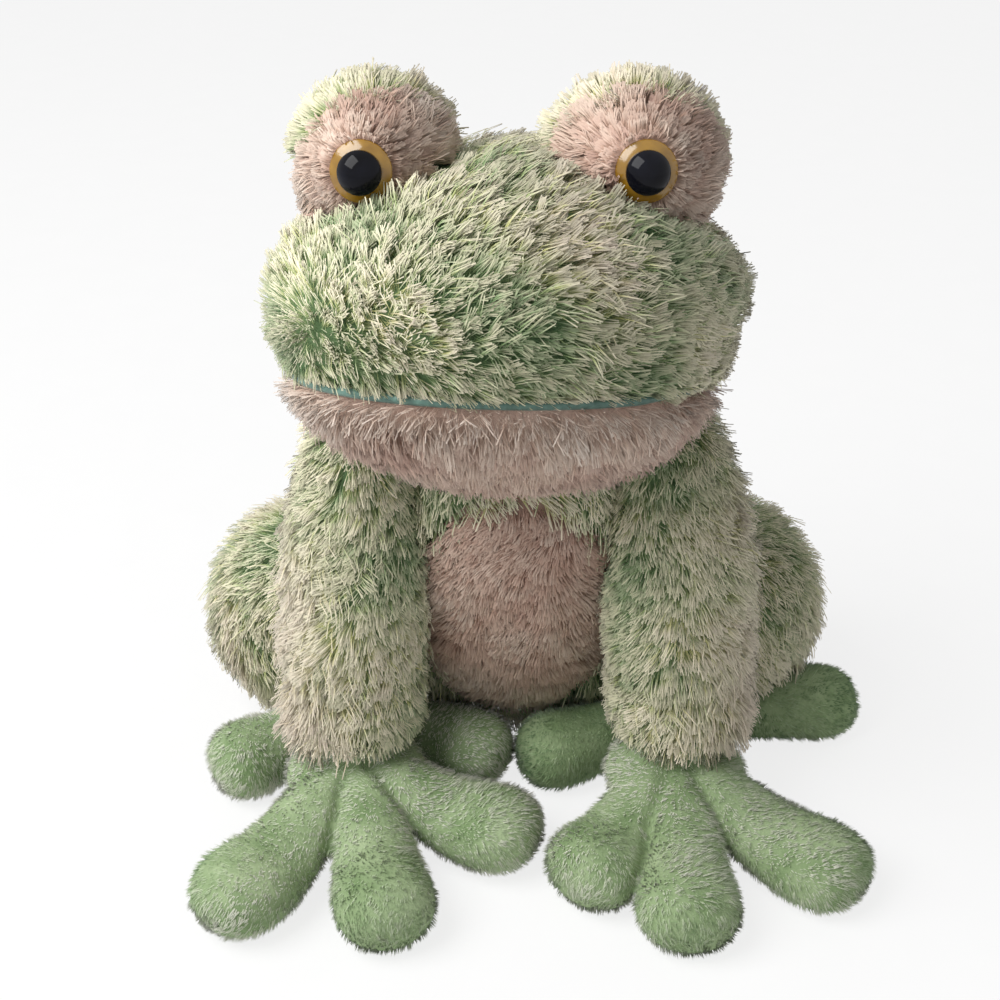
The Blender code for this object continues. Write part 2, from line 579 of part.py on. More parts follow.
# Eye mounds: two panels each over a pad of filling, sewn on top of the crown
mound_size = (MOUND_WIDTH, MOUND_DIAMETER, MOUND_DIAMETER)
eye_seat = (MOUND_DIAMETER ** 2 / 4 - EYE_DIAMETER ** 2 / 4) ** 0.5
eye_recess = EYE_DIAMETER / 2 + FIT_GAP
shank_radius = SHANK_DIAMETER / 2
washer_top = eye_seat - LONG_PILE_CLOTH - FIT_GAP
for side, sign in SIDES:
    centre = Vector((sign * MOUND_SPACING / 2, -MOUND_FORWARD, mound_rise))
    mound_frame = (head_frame @ Matrix.Translation(centre)
                   @ Matrix.Rotation(sign * EYE_SPLAY, 4, "Z"))
    seam_frame = mound_frame @ Matrix.Rotation(MOUND_SEAM_TILT, 4, "X")
    eye_frame = mound_frame @ Matrix.Rotation(pi / 2 + EYE_LOOK_DOWN, 4, "X")

    cavity = add_cutter(f"mound_cavity_{side}", egg(
        f"mound_cavity_{side}", Vector(), mound_size, FILLING_FACETS, -LONG_PILE_CLOTH,
        frame=mound_frame))
    behind_seam = box(f"behind_seam_{side}", (-reach, -FIT_GAP / 2, -reach),
                      (reach, reach, reach))
    behind_seam.transform(seam_frame)
    front_of_seam = box(f"front_of_seam_{side}", (-reach, -reach, -reach),
                        (reach, FIT_GAP / 2, reach))
    front_of_seam.transform(seam_frame)
    recess = turned(f"eye_recess_{side}", (
        (0, eye_seat + CUT_OVERRUN), (eye_recess, eye_seat + CUT_OVERRUN),
        (eye_recess, eye_seat - FIT_GAP), (shank_radius + FIT_GAP, eye_seat - FIT_GAP),
        (shank_radius + FIT_GAP, eye_seat - SHANK_LENGTH - FIT_GAP),
        (0, eye_seat - SHANK_LENGTH - FIT_GAP)), eye_frame)
    recess_cutter = add_cutter(f"eye_recess_{side}", recess)
    washer_room = turned(f"washer_room_{side}", (
        (0, eye_seat), (WASHER_DIAMETER / 2 + FIT_GAP, eye_seat),
        (WASHER_DIAMETER / 2 + FIT_GAP, washer_top - WASHER_THICKNESS - FIT_GAP),
        (shank_radius + FIT_GAP, washer_top - WASHER_THICKNESS - FIT_GAP),
        (shank_radius + FIT_GAP, eye_seat - SHANK_LENGTH - FIT_GAP),
        (0, eye_seat - SHANK_LENGTH - FIT_GAP)), eye_frame)

    front = add_piece(f"eye_mound_front_panel_{side}", egg(
        f"eye_mound_front_panel_{side}", Vector(), mound_size, LIMB_FACETS,
        frame=mound_frame), CREAM, origin=neck)
    combine(front, "DIFFERENCE", cavity, add_cutter(behind_seam.name, behind_seam),
            head_seat, recess_cutter)
    back = add_piece(f"eye_mound_back_panel_{side}", egg(
        f"eye_mound_back_panel_{side}", Vector(), mound_size, LIMB_FACETS,
        frame=mound_frame), MOSS, origin=neck)
    combine(back, "DIFFERENCE", cavity, add_cutter(front_of_seam.name, front_of_seam),
            head_seat)
    pad = add_piece(f"eye_mound_stuffing_{side}", egg(
        f"eye_mound_stuffing_{side}", Vector(), mound_size, FILLING_FACETS,
        -LONG_PILE_CLOTH - FILLING_GAP, frame=mound_frame), FILLING, origin=neck)
    combine(pad, "DIFFERENCE", head_seat, add_cutter(f"washer_room_{side}", washer_room))

    pupil_radius = PUPIL_DIAMETER / 2
    dome_top = eye_seat + EYE_RIM + EYE_DOME
    seat_floor = dome_top - PUPIL_SEAT
    iris = turned(f"eye_iris_{side}", (
        (0, seat_floor), (pupil_radius + FIT_GAP, seat_floor),
        (pupil_radius + FIT_GAP, dome_top),
        ((pupil_radius + EYE_DIAMETER) / 3 + FIT_GAP, dome_top - EYE_DOME / 4),
        (EYE_DIAMETER / 2, eye_seat + EYE_RIM), (EYE_DIAMETER / 2, eye_seat),
        (shank_radius, eye_seat), (shank_radius, eye_seat - SHANK_LENGTH),
        (0, eye_seat - SHANK_LENGTH)), eye_frame)
    add_piece(f"eye_iris_{side}", iris, AMBER, 0.2, origin=neck)
    pupil_base = seat_floor + FIT_GAP
    pupil_edge = pupil_base + PUPIL_SEAT
    dome = [(pupil_radius * sin(angle * pi / 12), pupil_edge + PUPIL_DOME * cos(angle * pi / 12))
            for angle in range(7)]
    pupil = turned(f"eye_pupil_{side}", (
        *dome, (pupil_radius, pupil_base), (0, pupil_base)), eye_frame)
    add_piece(f"eye_pupil_{side}", pupil, BLACK, 0.08, origin=neck)
    bore = shank_radius + FIT_GAP
    washer = turned(f"eye_washer_{side}", (
        (bore, washer_top), (WASHER_DIAMETER / 2, washer_top),
        (WASHER_DIAMETER / 2, washer_top - WASHER_THICKNESS),
        (bore, washer_top - WASHER_THICKNESS), (bore, washer_top)), eye_frame)
    add_piece(f"eye_washer_{side}", washer, NYLON, 0.5, origin=neck)

# Limbs: each sleeve, thigh and foot is a cloth skin over its own filling
torso_room = add_cutter("torso_room", torso_form("torso_room", SHOULDER_GAP))
combine(torso_room, "DIFFERENCE", *(
    add_cutter(f"shoulder_fill_{side}", shoulder_seat(f"shoulder_fill_{side}", sign, -FIT_GAP))
    for side, sign in SIDES))
for side, sign in SIDES:
    wrist, ankle = wrists[side], ankles[side]
    shoulder = Vector((sign * shoulder_x, -SHOULDER_FORWARD, shoulder_height))
    hip = Vector((sign * hip_x, 0, HIP_HEIGHT))

    wrist_socket = add_cutter(f"wrist_socket_{side}", ball(
        f"wrist_socket_{side}", wrist, WRIST_RADIUS + BALL_GAP, across))
    arm_cavity = add_cutter(f"arm_cavity_{side}", arm_form(
        f"arm_cavity_{side}", sign, -LONG_PILE_CLOTH, FILLING_FACETS))
    sleeve = add_piece(f"arm_sleeve_{side}", arm_form(f"arm_sleeve_{side}", sign), MOSS,
                       origin=shoulder)
    combine(sleeve, "DIFFERENCE", arm_cavity, wrist_socket, torso_room, head_room)
    arm_filling = add_piece(f"arm_stuffing_{side}", arm_form(
        f"arm_stuffing_{side}", sign, -LONG_PILE_CLOTH - FILLING_GAP, FILLING_FACETS),
        FILLING, origin=shoulder)
    combine(arm_filling, "DIFFERENCE", wrist_socket, torso_room, head_room)

    lid = wrist.z + WRIST_OPENING_RISE
    wrist_lid = add_cutter(f"wrist_lid_{side}", box(
        f"wrist_lid_{side}", (-reach, -reach, lid), (reach, reach, lid + reach)))
    fore_cavity = joined_cutter(forefoot_forms(
        side, sign, f"fore_cavity_{side}", -SHORT_PILE_CLOTH, *FOOT_FILLING_FACETS))
    forefoot = joined_piece(f"forefoot_skin_{side}", forefoot_forms(
        side, sign, f"forefoot_skin_{side}"), MINT, wrist)
    combine(forefoot, "DIFFERENCE", fore_cavity, wrist_lid, floor)
    fore_filling = joined_piece(f"forefoot_stuffing_{side}", forefoot_forms(
        side, sign, f"forefoot_stuffing_{side}", -SHORT_PILE_CLOTH - FILLING_GAP,
        *FOOT_FILLING_FACETS), FILLING, wrist)
    combine(fore_filling, "DIFFERENCE", wrist_lid)

    inner = hip_x + FIT_GAP / 2
    hip_cut = add_cutter(f"hip_cut_{side}", box(
        f"hip_cut_{side}", (min(0, sign * inner), -reach, -reach),
        (max(0, sign * inner), reach, reach)))
    foot_room = joined_cutter(hindfoot_forms(
        side, sign, f"foot_room_{side}", SWING_ROOM)[:-1])
    ankle_socket = add_cutter(f"ankle_socket_{side}", ball(
        f"ankle_socket_{side}", ankle, ANKLE_RADIUS + BALL_GAP, across))
    arm_room = add_cutter(f"arm_room_{side}", arm_form(f"arm_room_{side}", sign, SWING_ROOM))
    thigh_cavity = add_cutter(f"thigh_cavity_{side}", thigh_form(
        f"thigh_cavity_{side}", sign, -LONG_PILE_CLOTH, FILLING_FACETS))
    thigh = add_piece(f"thigh_panel_{side}", thigh_form(f"thigh_panel_{side}", sign), MOSS,
                      origin=hip)
    combine(thigh, "DIFFERENCE", thigh_cavity, hip_cut, foot_room, ankle_socket, arm_room)
    thigh_filling = add_piece(f"thigh_stuffing_{side}", thigh_form(
        f"thigh_stuffing_{side}", sign, -LONG_PILE_CLOTH - FILLING_GAP, FILLING_FACETS),
        FILLING, origin=hip)
    combine(thigh_filling, "DIFFERENCE", foot_room, ankle_socket, arm_room)

    lid = ankle.z + ANKLE_OPENING_RISE
    ankle_lid = add_cutter(f"ankle_lid_{side}", box(
        f"ankle_lid_{side}", (-reach, -reach, lid), (reach, reach, lid + reach)))
    fore_room = joined_cutter(forefoot_forms(
        side, sign, f"fore_room_{side}", SWING_ROOM, *FOOT_FILLING_FACETS)[:-1])
    fore_press = joined_cutter(forefoot_forms(
        side, sign, f"fore_press_{side}", SWING_ROOM + SHORT_PILE_CLOTH,
        *FOOT_FILLING_FACETS)[:-1])
    hind_cavity = joined_cutter(hindfoot_forms(
        side, sign, f"hind_cavity_{side}", -SHORT_PILE_CLOTH, *FOOT_FILLING_FACETS))
    combine(hind_cavity, "DIFFERENCE", fore_press)
    hindfoot = joined_piece(f"hindfoot_skin_{side}", hindfoot_forms(
        side, sign, f"hindfoot_skin_{side}"), MINT, ankle)
    combine(hindfoot, "DIFFERENCE", hind_cavity, fore_room, ankle_lid, floor)
    hind_filling = joined_piece(f"hindfoot_stuffing_{side}", hindfoot_forms(
        side, sign, f"hindfoot_stuffing_{side}", -SHORT_PILE_CLOTH - FILLING_GAP,
        *FOOT_FILLING_FACETS), FILLING, ankle)
    combine(hind_filling, "DIFFERENCE", fore_press, ankle_lid)
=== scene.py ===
"""Looks of the plush frog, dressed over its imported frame. Sizes are in millimetres."""
from math import cos, pi, radians, sin

import bmesh
import bpy
import numpy as np
from mathutils import Matrix, Vector


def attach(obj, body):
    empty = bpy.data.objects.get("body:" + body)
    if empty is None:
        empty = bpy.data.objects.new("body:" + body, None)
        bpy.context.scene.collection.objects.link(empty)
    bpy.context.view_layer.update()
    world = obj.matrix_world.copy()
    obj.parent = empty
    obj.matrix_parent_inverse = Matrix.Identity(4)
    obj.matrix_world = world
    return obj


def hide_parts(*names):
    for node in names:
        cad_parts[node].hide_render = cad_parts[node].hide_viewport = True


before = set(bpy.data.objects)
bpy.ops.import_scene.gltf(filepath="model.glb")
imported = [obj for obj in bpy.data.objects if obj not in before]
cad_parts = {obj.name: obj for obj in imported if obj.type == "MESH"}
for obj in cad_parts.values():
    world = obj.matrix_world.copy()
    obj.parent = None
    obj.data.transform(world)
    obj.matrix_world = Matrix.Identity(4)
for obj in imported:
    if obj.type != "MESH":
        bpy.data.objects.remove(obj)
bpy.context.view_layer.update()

# Torso: a pear of long-pile fur sewn from a green back panel, which wraps round the sides, and an
# oval belly panel of finer fur, stuffed with loose fibre over a bean bag that weighs the seat.
# Both panels are machine-sewn inside out, so their seams show only as grooves in the fur.
MM = 0.001
TORSO_HALF_WIDTH = 55.5
TORSO_HALF_DEPTH = 45.5
TORSO_HEIGHT = 160
TORSO_LEAN = 42
TORSO_BOW = 8
TORSO_ROUNDNESS = 0.7
TORSO_WIDTH_SHARES = (1.0, 1.06, 0.99, 0.99, 1.06)
TORSO_DEPTH_SHARES = (1.0, 1.06, 0.96, 0.82, 0.82)
HIP_SEAM_X = 52.3
BELLY_HALF_WIDTH = 38
BELLY_HALF_HEIGHT = 56
BELLY_MIDDLE_HEIGHT = 82
SEAM_GROOVE = 1.8
SEAM_GROOVE_SPREAD = 3.5
BELLY_GROOVE = 2.2
SEAT_DROP = 0.5
TORSO_PILE_ROOM = 0.8
FLOOR_CLEARANCE = 0.3
PILE_SUNK = 1.0
RINGS_ALONG = 40
END_SHARE = 0.02
STRAND_THICKNESS_SHARE = 0.6
STRAND_KNEE_SHARE = 0.6
TINT_SPREAD = 0.012
FILLING_ROOM = 2.5
BACK_STRANDS = 3000
BACK_UNDERSTRANDS = 27000
BELLY_STRANDS = 20000


def linear(code):
    """A hex colour as it is seen, as the linear values that a socket takes."""
    parts = [int(code[at:at + 2], 16) / 255 for at in (1, 3, 5)]
    return (*[part / 12.92 if part <= 0.04045 else ((part + 0.055) / 1.055) ** 2.4
              for part in parts], 1)


def add_node(material, kind, settings=None, links=None, stops=None):
    """Adds a node with its settings, its inputs as values or outputs, and a ramp's stops."""
    tree = material.node_tree
    node = tree.nodes.new(kind)
    for key, value in (settings or {}).items():
        setattr(node, key, value)
    if stops:
        while len(node.color_ramp.elements) < len(stops):
            node.color_ramp.elements.new(0.5)
        for element, (place, code) in zip(node.color_ramp.elements, stops):
            element.position = place
            element.color = linear(code)
    for key, value in (links or {}).items():
        if isinstance(value, bpy.types.NodeSocket):
            tree.links.new(value, node.inputs[key])
        else:
            node.inputs[key].default_value = value
    return node


def new_material(name):
    """A node material with its own shader and output, and that shader."""
    material = bpy.data.materials.new(name)
    material.use_nodes = True
    return material, material.node_tree.nodes["Principled BSDF"]


def clouded_material(name, size, stops, settings, detail=2.0):
    """A plain finish whose colour drifts a little in clouds of a size."""
    material, shader = new_material(name)
    place = add_node(material, "ShaderNodeTexCoord")
    cloud = add_node(material, "ShaderNodeTexNoise", None,
                     {"Vector": place.outputs["Object"], "Scale": 1 / (size * MM),
                      "Detail": detail})
    colour = add_node(material, "ShaderNodeValToRGB", None, {0: cloud.outputs[0]}, stops)
    material.node_tree.links.new(colour.outputs[0], shader.inputs["Base Color"])
    for key, value in settings.items():
        shader.inputs[key].default_value = value
    return material


def pile_material(name, middles, tips, root_shade_code, roughness, sheen):
    """Brushed pile. Each strand is darkened towards its root as painted shade between the strands,
    takes its dye in the middle and has a frosted tip. The map's first value is the dye of the
    strand with the painted light and shade added to it, its second the place on it."""
    material, shader = new_material(name)
    uv = add_node(material, "ShaderNodeUVMap", {"uv_map": "OFBake"})
    parts = add_node(material, "ShaderNodeSeparateXYZ", None, {0: uv.outputs[0]})
    dye_and_shading, place = parts.outputs[0], parts.outputs[1]
    middle = add_node(material, "ShaderNodeValToRGB", None, {0: dye_and_shading}, middles)
    tip = add_node(material, "ShaderNodeValToRGB", None, {0: dye_and_shading}, tips)
    low = add_node(material, "ShaderNodeMapRange", {"interpolation_type": "SMOOTHSTEP"},
                   {0: place, 1: 0.0, 2: 0.42})
    high = add_node(material, "ShaderNodeMapRange", {"interpolation_type": "SMOOTHSTEP"},
                    {0: place, 1: 0.5, 2: 0.9})
    # Painted shade: the lower part of each strand runs from the dark root colour up to its dye
    root_shaded = add_node(material, "ShaderNodeMix", {"data_type": "RGBA"},
                      {0: low.outputs[0], 6: linear(root_shade_code), 7: middle.outputs[0]})
    frosted = add_node(material, "ShaderNodeMix", {"data_type": "RGBA"},
                       {0: high.outputs[0], 6: root_shaded.outputs[2], 7: tip.outputs[0]})
    material.node_tree.links.new(frosted.outputs[2], shader.inputs["Base Color"])
    shader.inputs["Roughness"].default_value = roughness
    shader.inputs["Specular IOR Level"].default_value = 0.35
    shader.inputs["Sheen Weight"].default_value = sheen
    shader.inputs["Sheen Roughness"].default_value = 0.45
    return material


def backing_material(name, stops, patch, bump):
    """Knitted backing under the pile: mottled dye in patches, with a fine bump of stubble."""
    material, shader = new_material(name)
    place = add_node(material, "ShaderNodeTexCoord")
    patches = add_node(material, "ShaderNodeTexNoise", None,
                       {"Vector": place.outputs["Object"], "Scale": 1 / (patch * MM),
                        "Detail": 4.0, "Roughness": 0.6})
    ramp = add_node(material, "ShaderNodeValToRGB", None, {0: patches.outputs[0]}, stops)
    stubble = add_node(material, "ShaderNodeTexNoise", None,
                       {"Vector": place.outputs["Object"], "Scale": 1 / (1.2 * MM),
                        "Detail": 2.0})
    raised = add_node(material, "ShaderNodeBump", None,
                      {"Strength": bump, "Distance": 0.0012, "Height": stubble.outputs[0]})
    material.node_tree.links.new(ramp.outputs[0], shader.inputs["Base Color"])
    material.node_tree.links.new(raised.outputs[0], shader.inputs["Normal"])
    shader.inputs["Roughness"].default_value = 0.9
    shader.inputs["Specular IOR Level"].default_value = 0.2
    return material


def turns(count):
    """Angles evenly spaced around a ring."""
    return (np.arange(count) * 2 * pi / count)[None]


def near(distance, spread):
    """1 where a distance is zero, falling smoothly to nearly 0 two spreads away."""
    return np.exp(-(distance / spread) ** 2)


def swell(shares, place):
    """A smooth curve through evenly spaced shares: the cubic through four neighbours."""
    shares = np.asarray(shares, float)
    last = len(shares) - 1
    index = np.clip((place * last).astype(int), 0, last - 1)
    step = place * last - index
    before, here = shares[np.maximum(index - 1, 0)], shares[index]
    following, after = shares[index + 1], shares[np.minimum(index + 2, last)]
    bend = 2 * before - 5 * here + 4 * following - after
    twist = 3 * (here - following) + after - before
    return here + step * (following - before + step * (bend + step * twist)) / 2


def stuffed(path, wide, deep, roundness=1.0, wide_shares=(1, 1), deep_shares=(1, 1)):
    """A stuffed form: its path from end to end, and its half width and half depth as vectors."""
    place = np.linspace(0, 1, 65)
    fullest = [(np.sin(pi * place) ** roundness * swell(shares, place)).max()
               for shares in (wide_shares, deep_shares)]
    return {"path": path, "wide": np.asarray(wide, float), "deep": np.asarray(deep, float),
            "roundness": roundness, "shares": (wide_shares, deep_shares), "fullest": fullest}


def half_sizes(form, place):
    """Half width and half depth at a place: the sine of the place, flattened by the roundness,
    times the swell of its shares, over the fullest that this comes to."""
    rise = np.clip(np.sin(pi * place), 0, 1) ** form["roundness"]
    return [rise * swell(shares, place) / most
            for shares, most in zip(form["shares"], form["fullest"])]


def on_form(form, polar, around, grow=0.0):
    """The point at a polar angle from the form's start and an angle around it: the rings of a
    sphere laid along the path, each as wide and deep as its half sizes."""
    polar, around = np.broadcast_arrays(polar, around)
    grow = np.broadcast_to(grow, polar.shape)
    ends = form["path"](np.array([0.0, 1.0]))
    along = (ends[1] - ends[0]) / np.linalg.norm(ends[1] - ends[0])
    width, depth = half_sizes(form, polar / pi)
    wide, deep = form["wide"], form["deep"]
    across = np.linalg.norm(wide) + grow
    through = np.linalg.norm(deep) + grow
    return (form["path"]((1 - np.cos(polar)) / 2)
            - along * (grow * np.cos(polar))[..., None]
            + wide / np.linalg.norm(wide) * (across * width * np.cos(around))[..., None]
            + deep / np.linalg.norm(deep) * (through * depth * np.sin(around))[..., None])


def straight(start, end):
    """A straight path between two points."""
    start, end = np.asarray(start, float), np.asarray(end, float)
    return lambda share: start + (end - start) * np.asarray(share)[..., None]


def depth_inside(form, points):
    """How far points are inside a form whose path runs up or down, from 1 on its axis to 0 on
    its skin: one less the root of the squares of their offsets over its half sizes there."""
    ends = form["path"](np.array([0.0, 1.0]))[:, 2]
    bottom, top = ends.min(), ends.max()
    share = np.clip(np.abs(points[:, 2] - ends[0]) / (top - bottom), 1e-4, 1 - 1e-4)
    width, depth = half_sizes(form, np.arccos(1 - 2 * share) / pi)
    middle = form["path"](share)
    off_x = (points[:, 0] - middle[:, 0]) / (width * np.linalg.norm(form["wide"]) + 1e-6)
    off_y = (points[:, 1] - middle[:, 1]) / (depth * np.linalg.norm(form["deep"]) + 1e-6)
    inside = 1 - np.sqrt(off_x ** 2 + off_y ** 2)
    return np.where((points[:, 2] < bottom) | (points[:, 2] > top), -1.0, inside)


def drift(points, size, seed):
    """Slow waves over the cloth, from about -1 to 1, in patches about as large as size: the
    mean of six sines along random directions."""
    chance = np.random.default_rng(seed)
    ways = chance.normal(size=(6, 3))
    ways *= 2 * pi / (size * chance.uniform(1.2, 2.6, (6, 1))) / np.linalg.norm(
        ways, axis=1, keepdims=True)
    return np.sin(points @ ways.T + chance.uniform(0, 2 * pi, 6)).mean(axis=-1) * 1.8


def unit(vectors):
    """Vectors brought to length one."""
    return vectors / np.maximum(np.linalg.norm(vectors, axis=-1, keepdims=True), 1e-9)


def filled_mesh(name, points, face_sets, uv=None, normals=None):
    """A mesh from points and arrays of faces, turned to face outwards by the sign of its
    volume, with a map named OFBake where each point has its two values, and the ways that
    its points face where they aren't those of the faces."""
    volume = 0.0
    for faces in face_sets:
        for corner in range(1, faces.shape[1] - 1):
            a, b, c = (points[faces[:, at]] for at in (0, corner, corner + 1))
            volume += np.einsum("ij,ij->", a, np.cross(b, c))
    if volume < 0:
        face_sets = [faces[:, ::-1] for faces in face_sets]
    corners = np.concatenate([faces.ravel() for faces in face_sets]).astype(np.int32)
    sides = np.concatenate([np.full(len(faces), faces.shape[1]) for faces in face_sets])
    mesh = bpy.data.meshes.new(name)
    mesh.vertices.add(len(points))
    mesh.loops.add(len(corners))
    mesh.polygons.add(len(sides))
    mesh.vertices.foreach_set("co", (points * MM).ravel().astype(np.float32))
    mesh.loops.foreach_set("vertex_index", corners)
    mesh.polygons.foreach_set("loop_start", np.concatenate(
        ([0], np.cumsum(sides)[:-1])).astype(np.int32))
    if uv is not None:
        layer = mesh.uv_layers.new(name="OFBake")
        layer.uv.foreach_set("vector", uv[corners].ravel().astype(np.float32))
    mesh.update(calc_edges=True)
    mesh.validate()
    if normals is not None:
        mesh.normals_split_custom_set_from_vertices(normals)
    mesh.shade_smooth()
    return mesh


def closed_mesh(name, grid):
    """A closed skin from rows of points around it. The first and last row are its poles."""
    rows, columns = grid.shape[:2]
    points = np.concatenate((grid[:1].mean(axis=1), grid[1:-1].reshape(-1, 3),
                             grid[-1:].mean(axis=1)))
    here = np.arange(columns)
    beside = (here + 1) % columns
    start = 1 + columns * np.arange(rows - 3)[:, None]
    quads = np.stack((start + here, start + beside, start + columns + beside,
                      start + columns + here), axis=-1).reshape(-1, 4)
    last = 1 + columns * (rows - 3)
    end = np.full(columns, len(points) - 1)
    fans = np.concatenate((np.stack((1 + beside, 1 + here, np.zeros_like(here)), axis=-1),
                           np.stack((last + here, last + beside, end), axis=-1)))
    return filled_mesh(name, points, [quads, fans])


def in_scene(name, data):
    """An object with its data, linked to the scene."""
    thing = bpy.data.objects.new(name, data)
    bpy.context.scene.collection.objects.link(thing)
    return thing


def add_piece(name, mesh, material, body, slot, *nodes):
    """A piece of the frog: its object, its finish, the body it rides on and what it stands
    for in the frame."""
    piece = in_scene(name, mesh)
    mesh.materials.append(material)
    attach(piece, body)
    if nodes:
        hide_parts(*nodes)
    return piece


def add_skin(name, mesh, material, body, slot, node):
    """A sewn skin, in the place of its panel."""
    piece = add_piece(name, mesh, material, body, slot, node)
    return piece


def mesh_points(mesh):
    """A mesh's points and their normals, in millimetres."""
    places = np.empty(len(mesh.vertices) * 3, np.float32)
    normals = np.empty_like(places)
    mesh.vertices.foreach_get("co", places)
    mesh.vertices.foreach_get("normal", normals)
    return places.reshape(-1, 3).astype(float) / MM, normals.reshape(-1, 3).astype(float)


def set_points(mesh, points):
    """Moves a mesh's points to places in millimetres."""
    mesh.vertices.foreach_set("co", (points * MM).ravel().astype(np.float32))
    mesh.update()


def sown(skin, count, chance, wanted):
    """Roots and their normals spread over a skin by area, as dense as wanted says."""
    mesh = skin.data
    mesh.calc_loop_triangles()
    corners = np.empty(len(mesh.loop_triangles) * 3, np.int32)
    mesh.loop_triangles.foreach_get("vertices", corners)
    corners = corners.reshape(-1, 3)
    places, normals = mesh_points(mesh)
    a, b, c = (places[corners[:, at]] for at in range(3))
    share = np.linalg.norm(np.cross(b - a, c - a), axis=1)
    share *= np.maximum(wanted((a + b + c) / 3), 0)
    picked = chance.choice(len(share), count, p=share / share.sum())
    first, second = chance.random(count), chance.random(count)
    fold = first + second > 1
    first[fold], second[fold] = 1 - first[fold], 1 - second[fold]
    weights = np.stack((1 - first - second, first, second), axis=-1)[..., None]
    return ((places[corners[picked]] * weights).sum(axis=1),
            unit((normals[corners[picked]] * weights).sum(axis=1)))


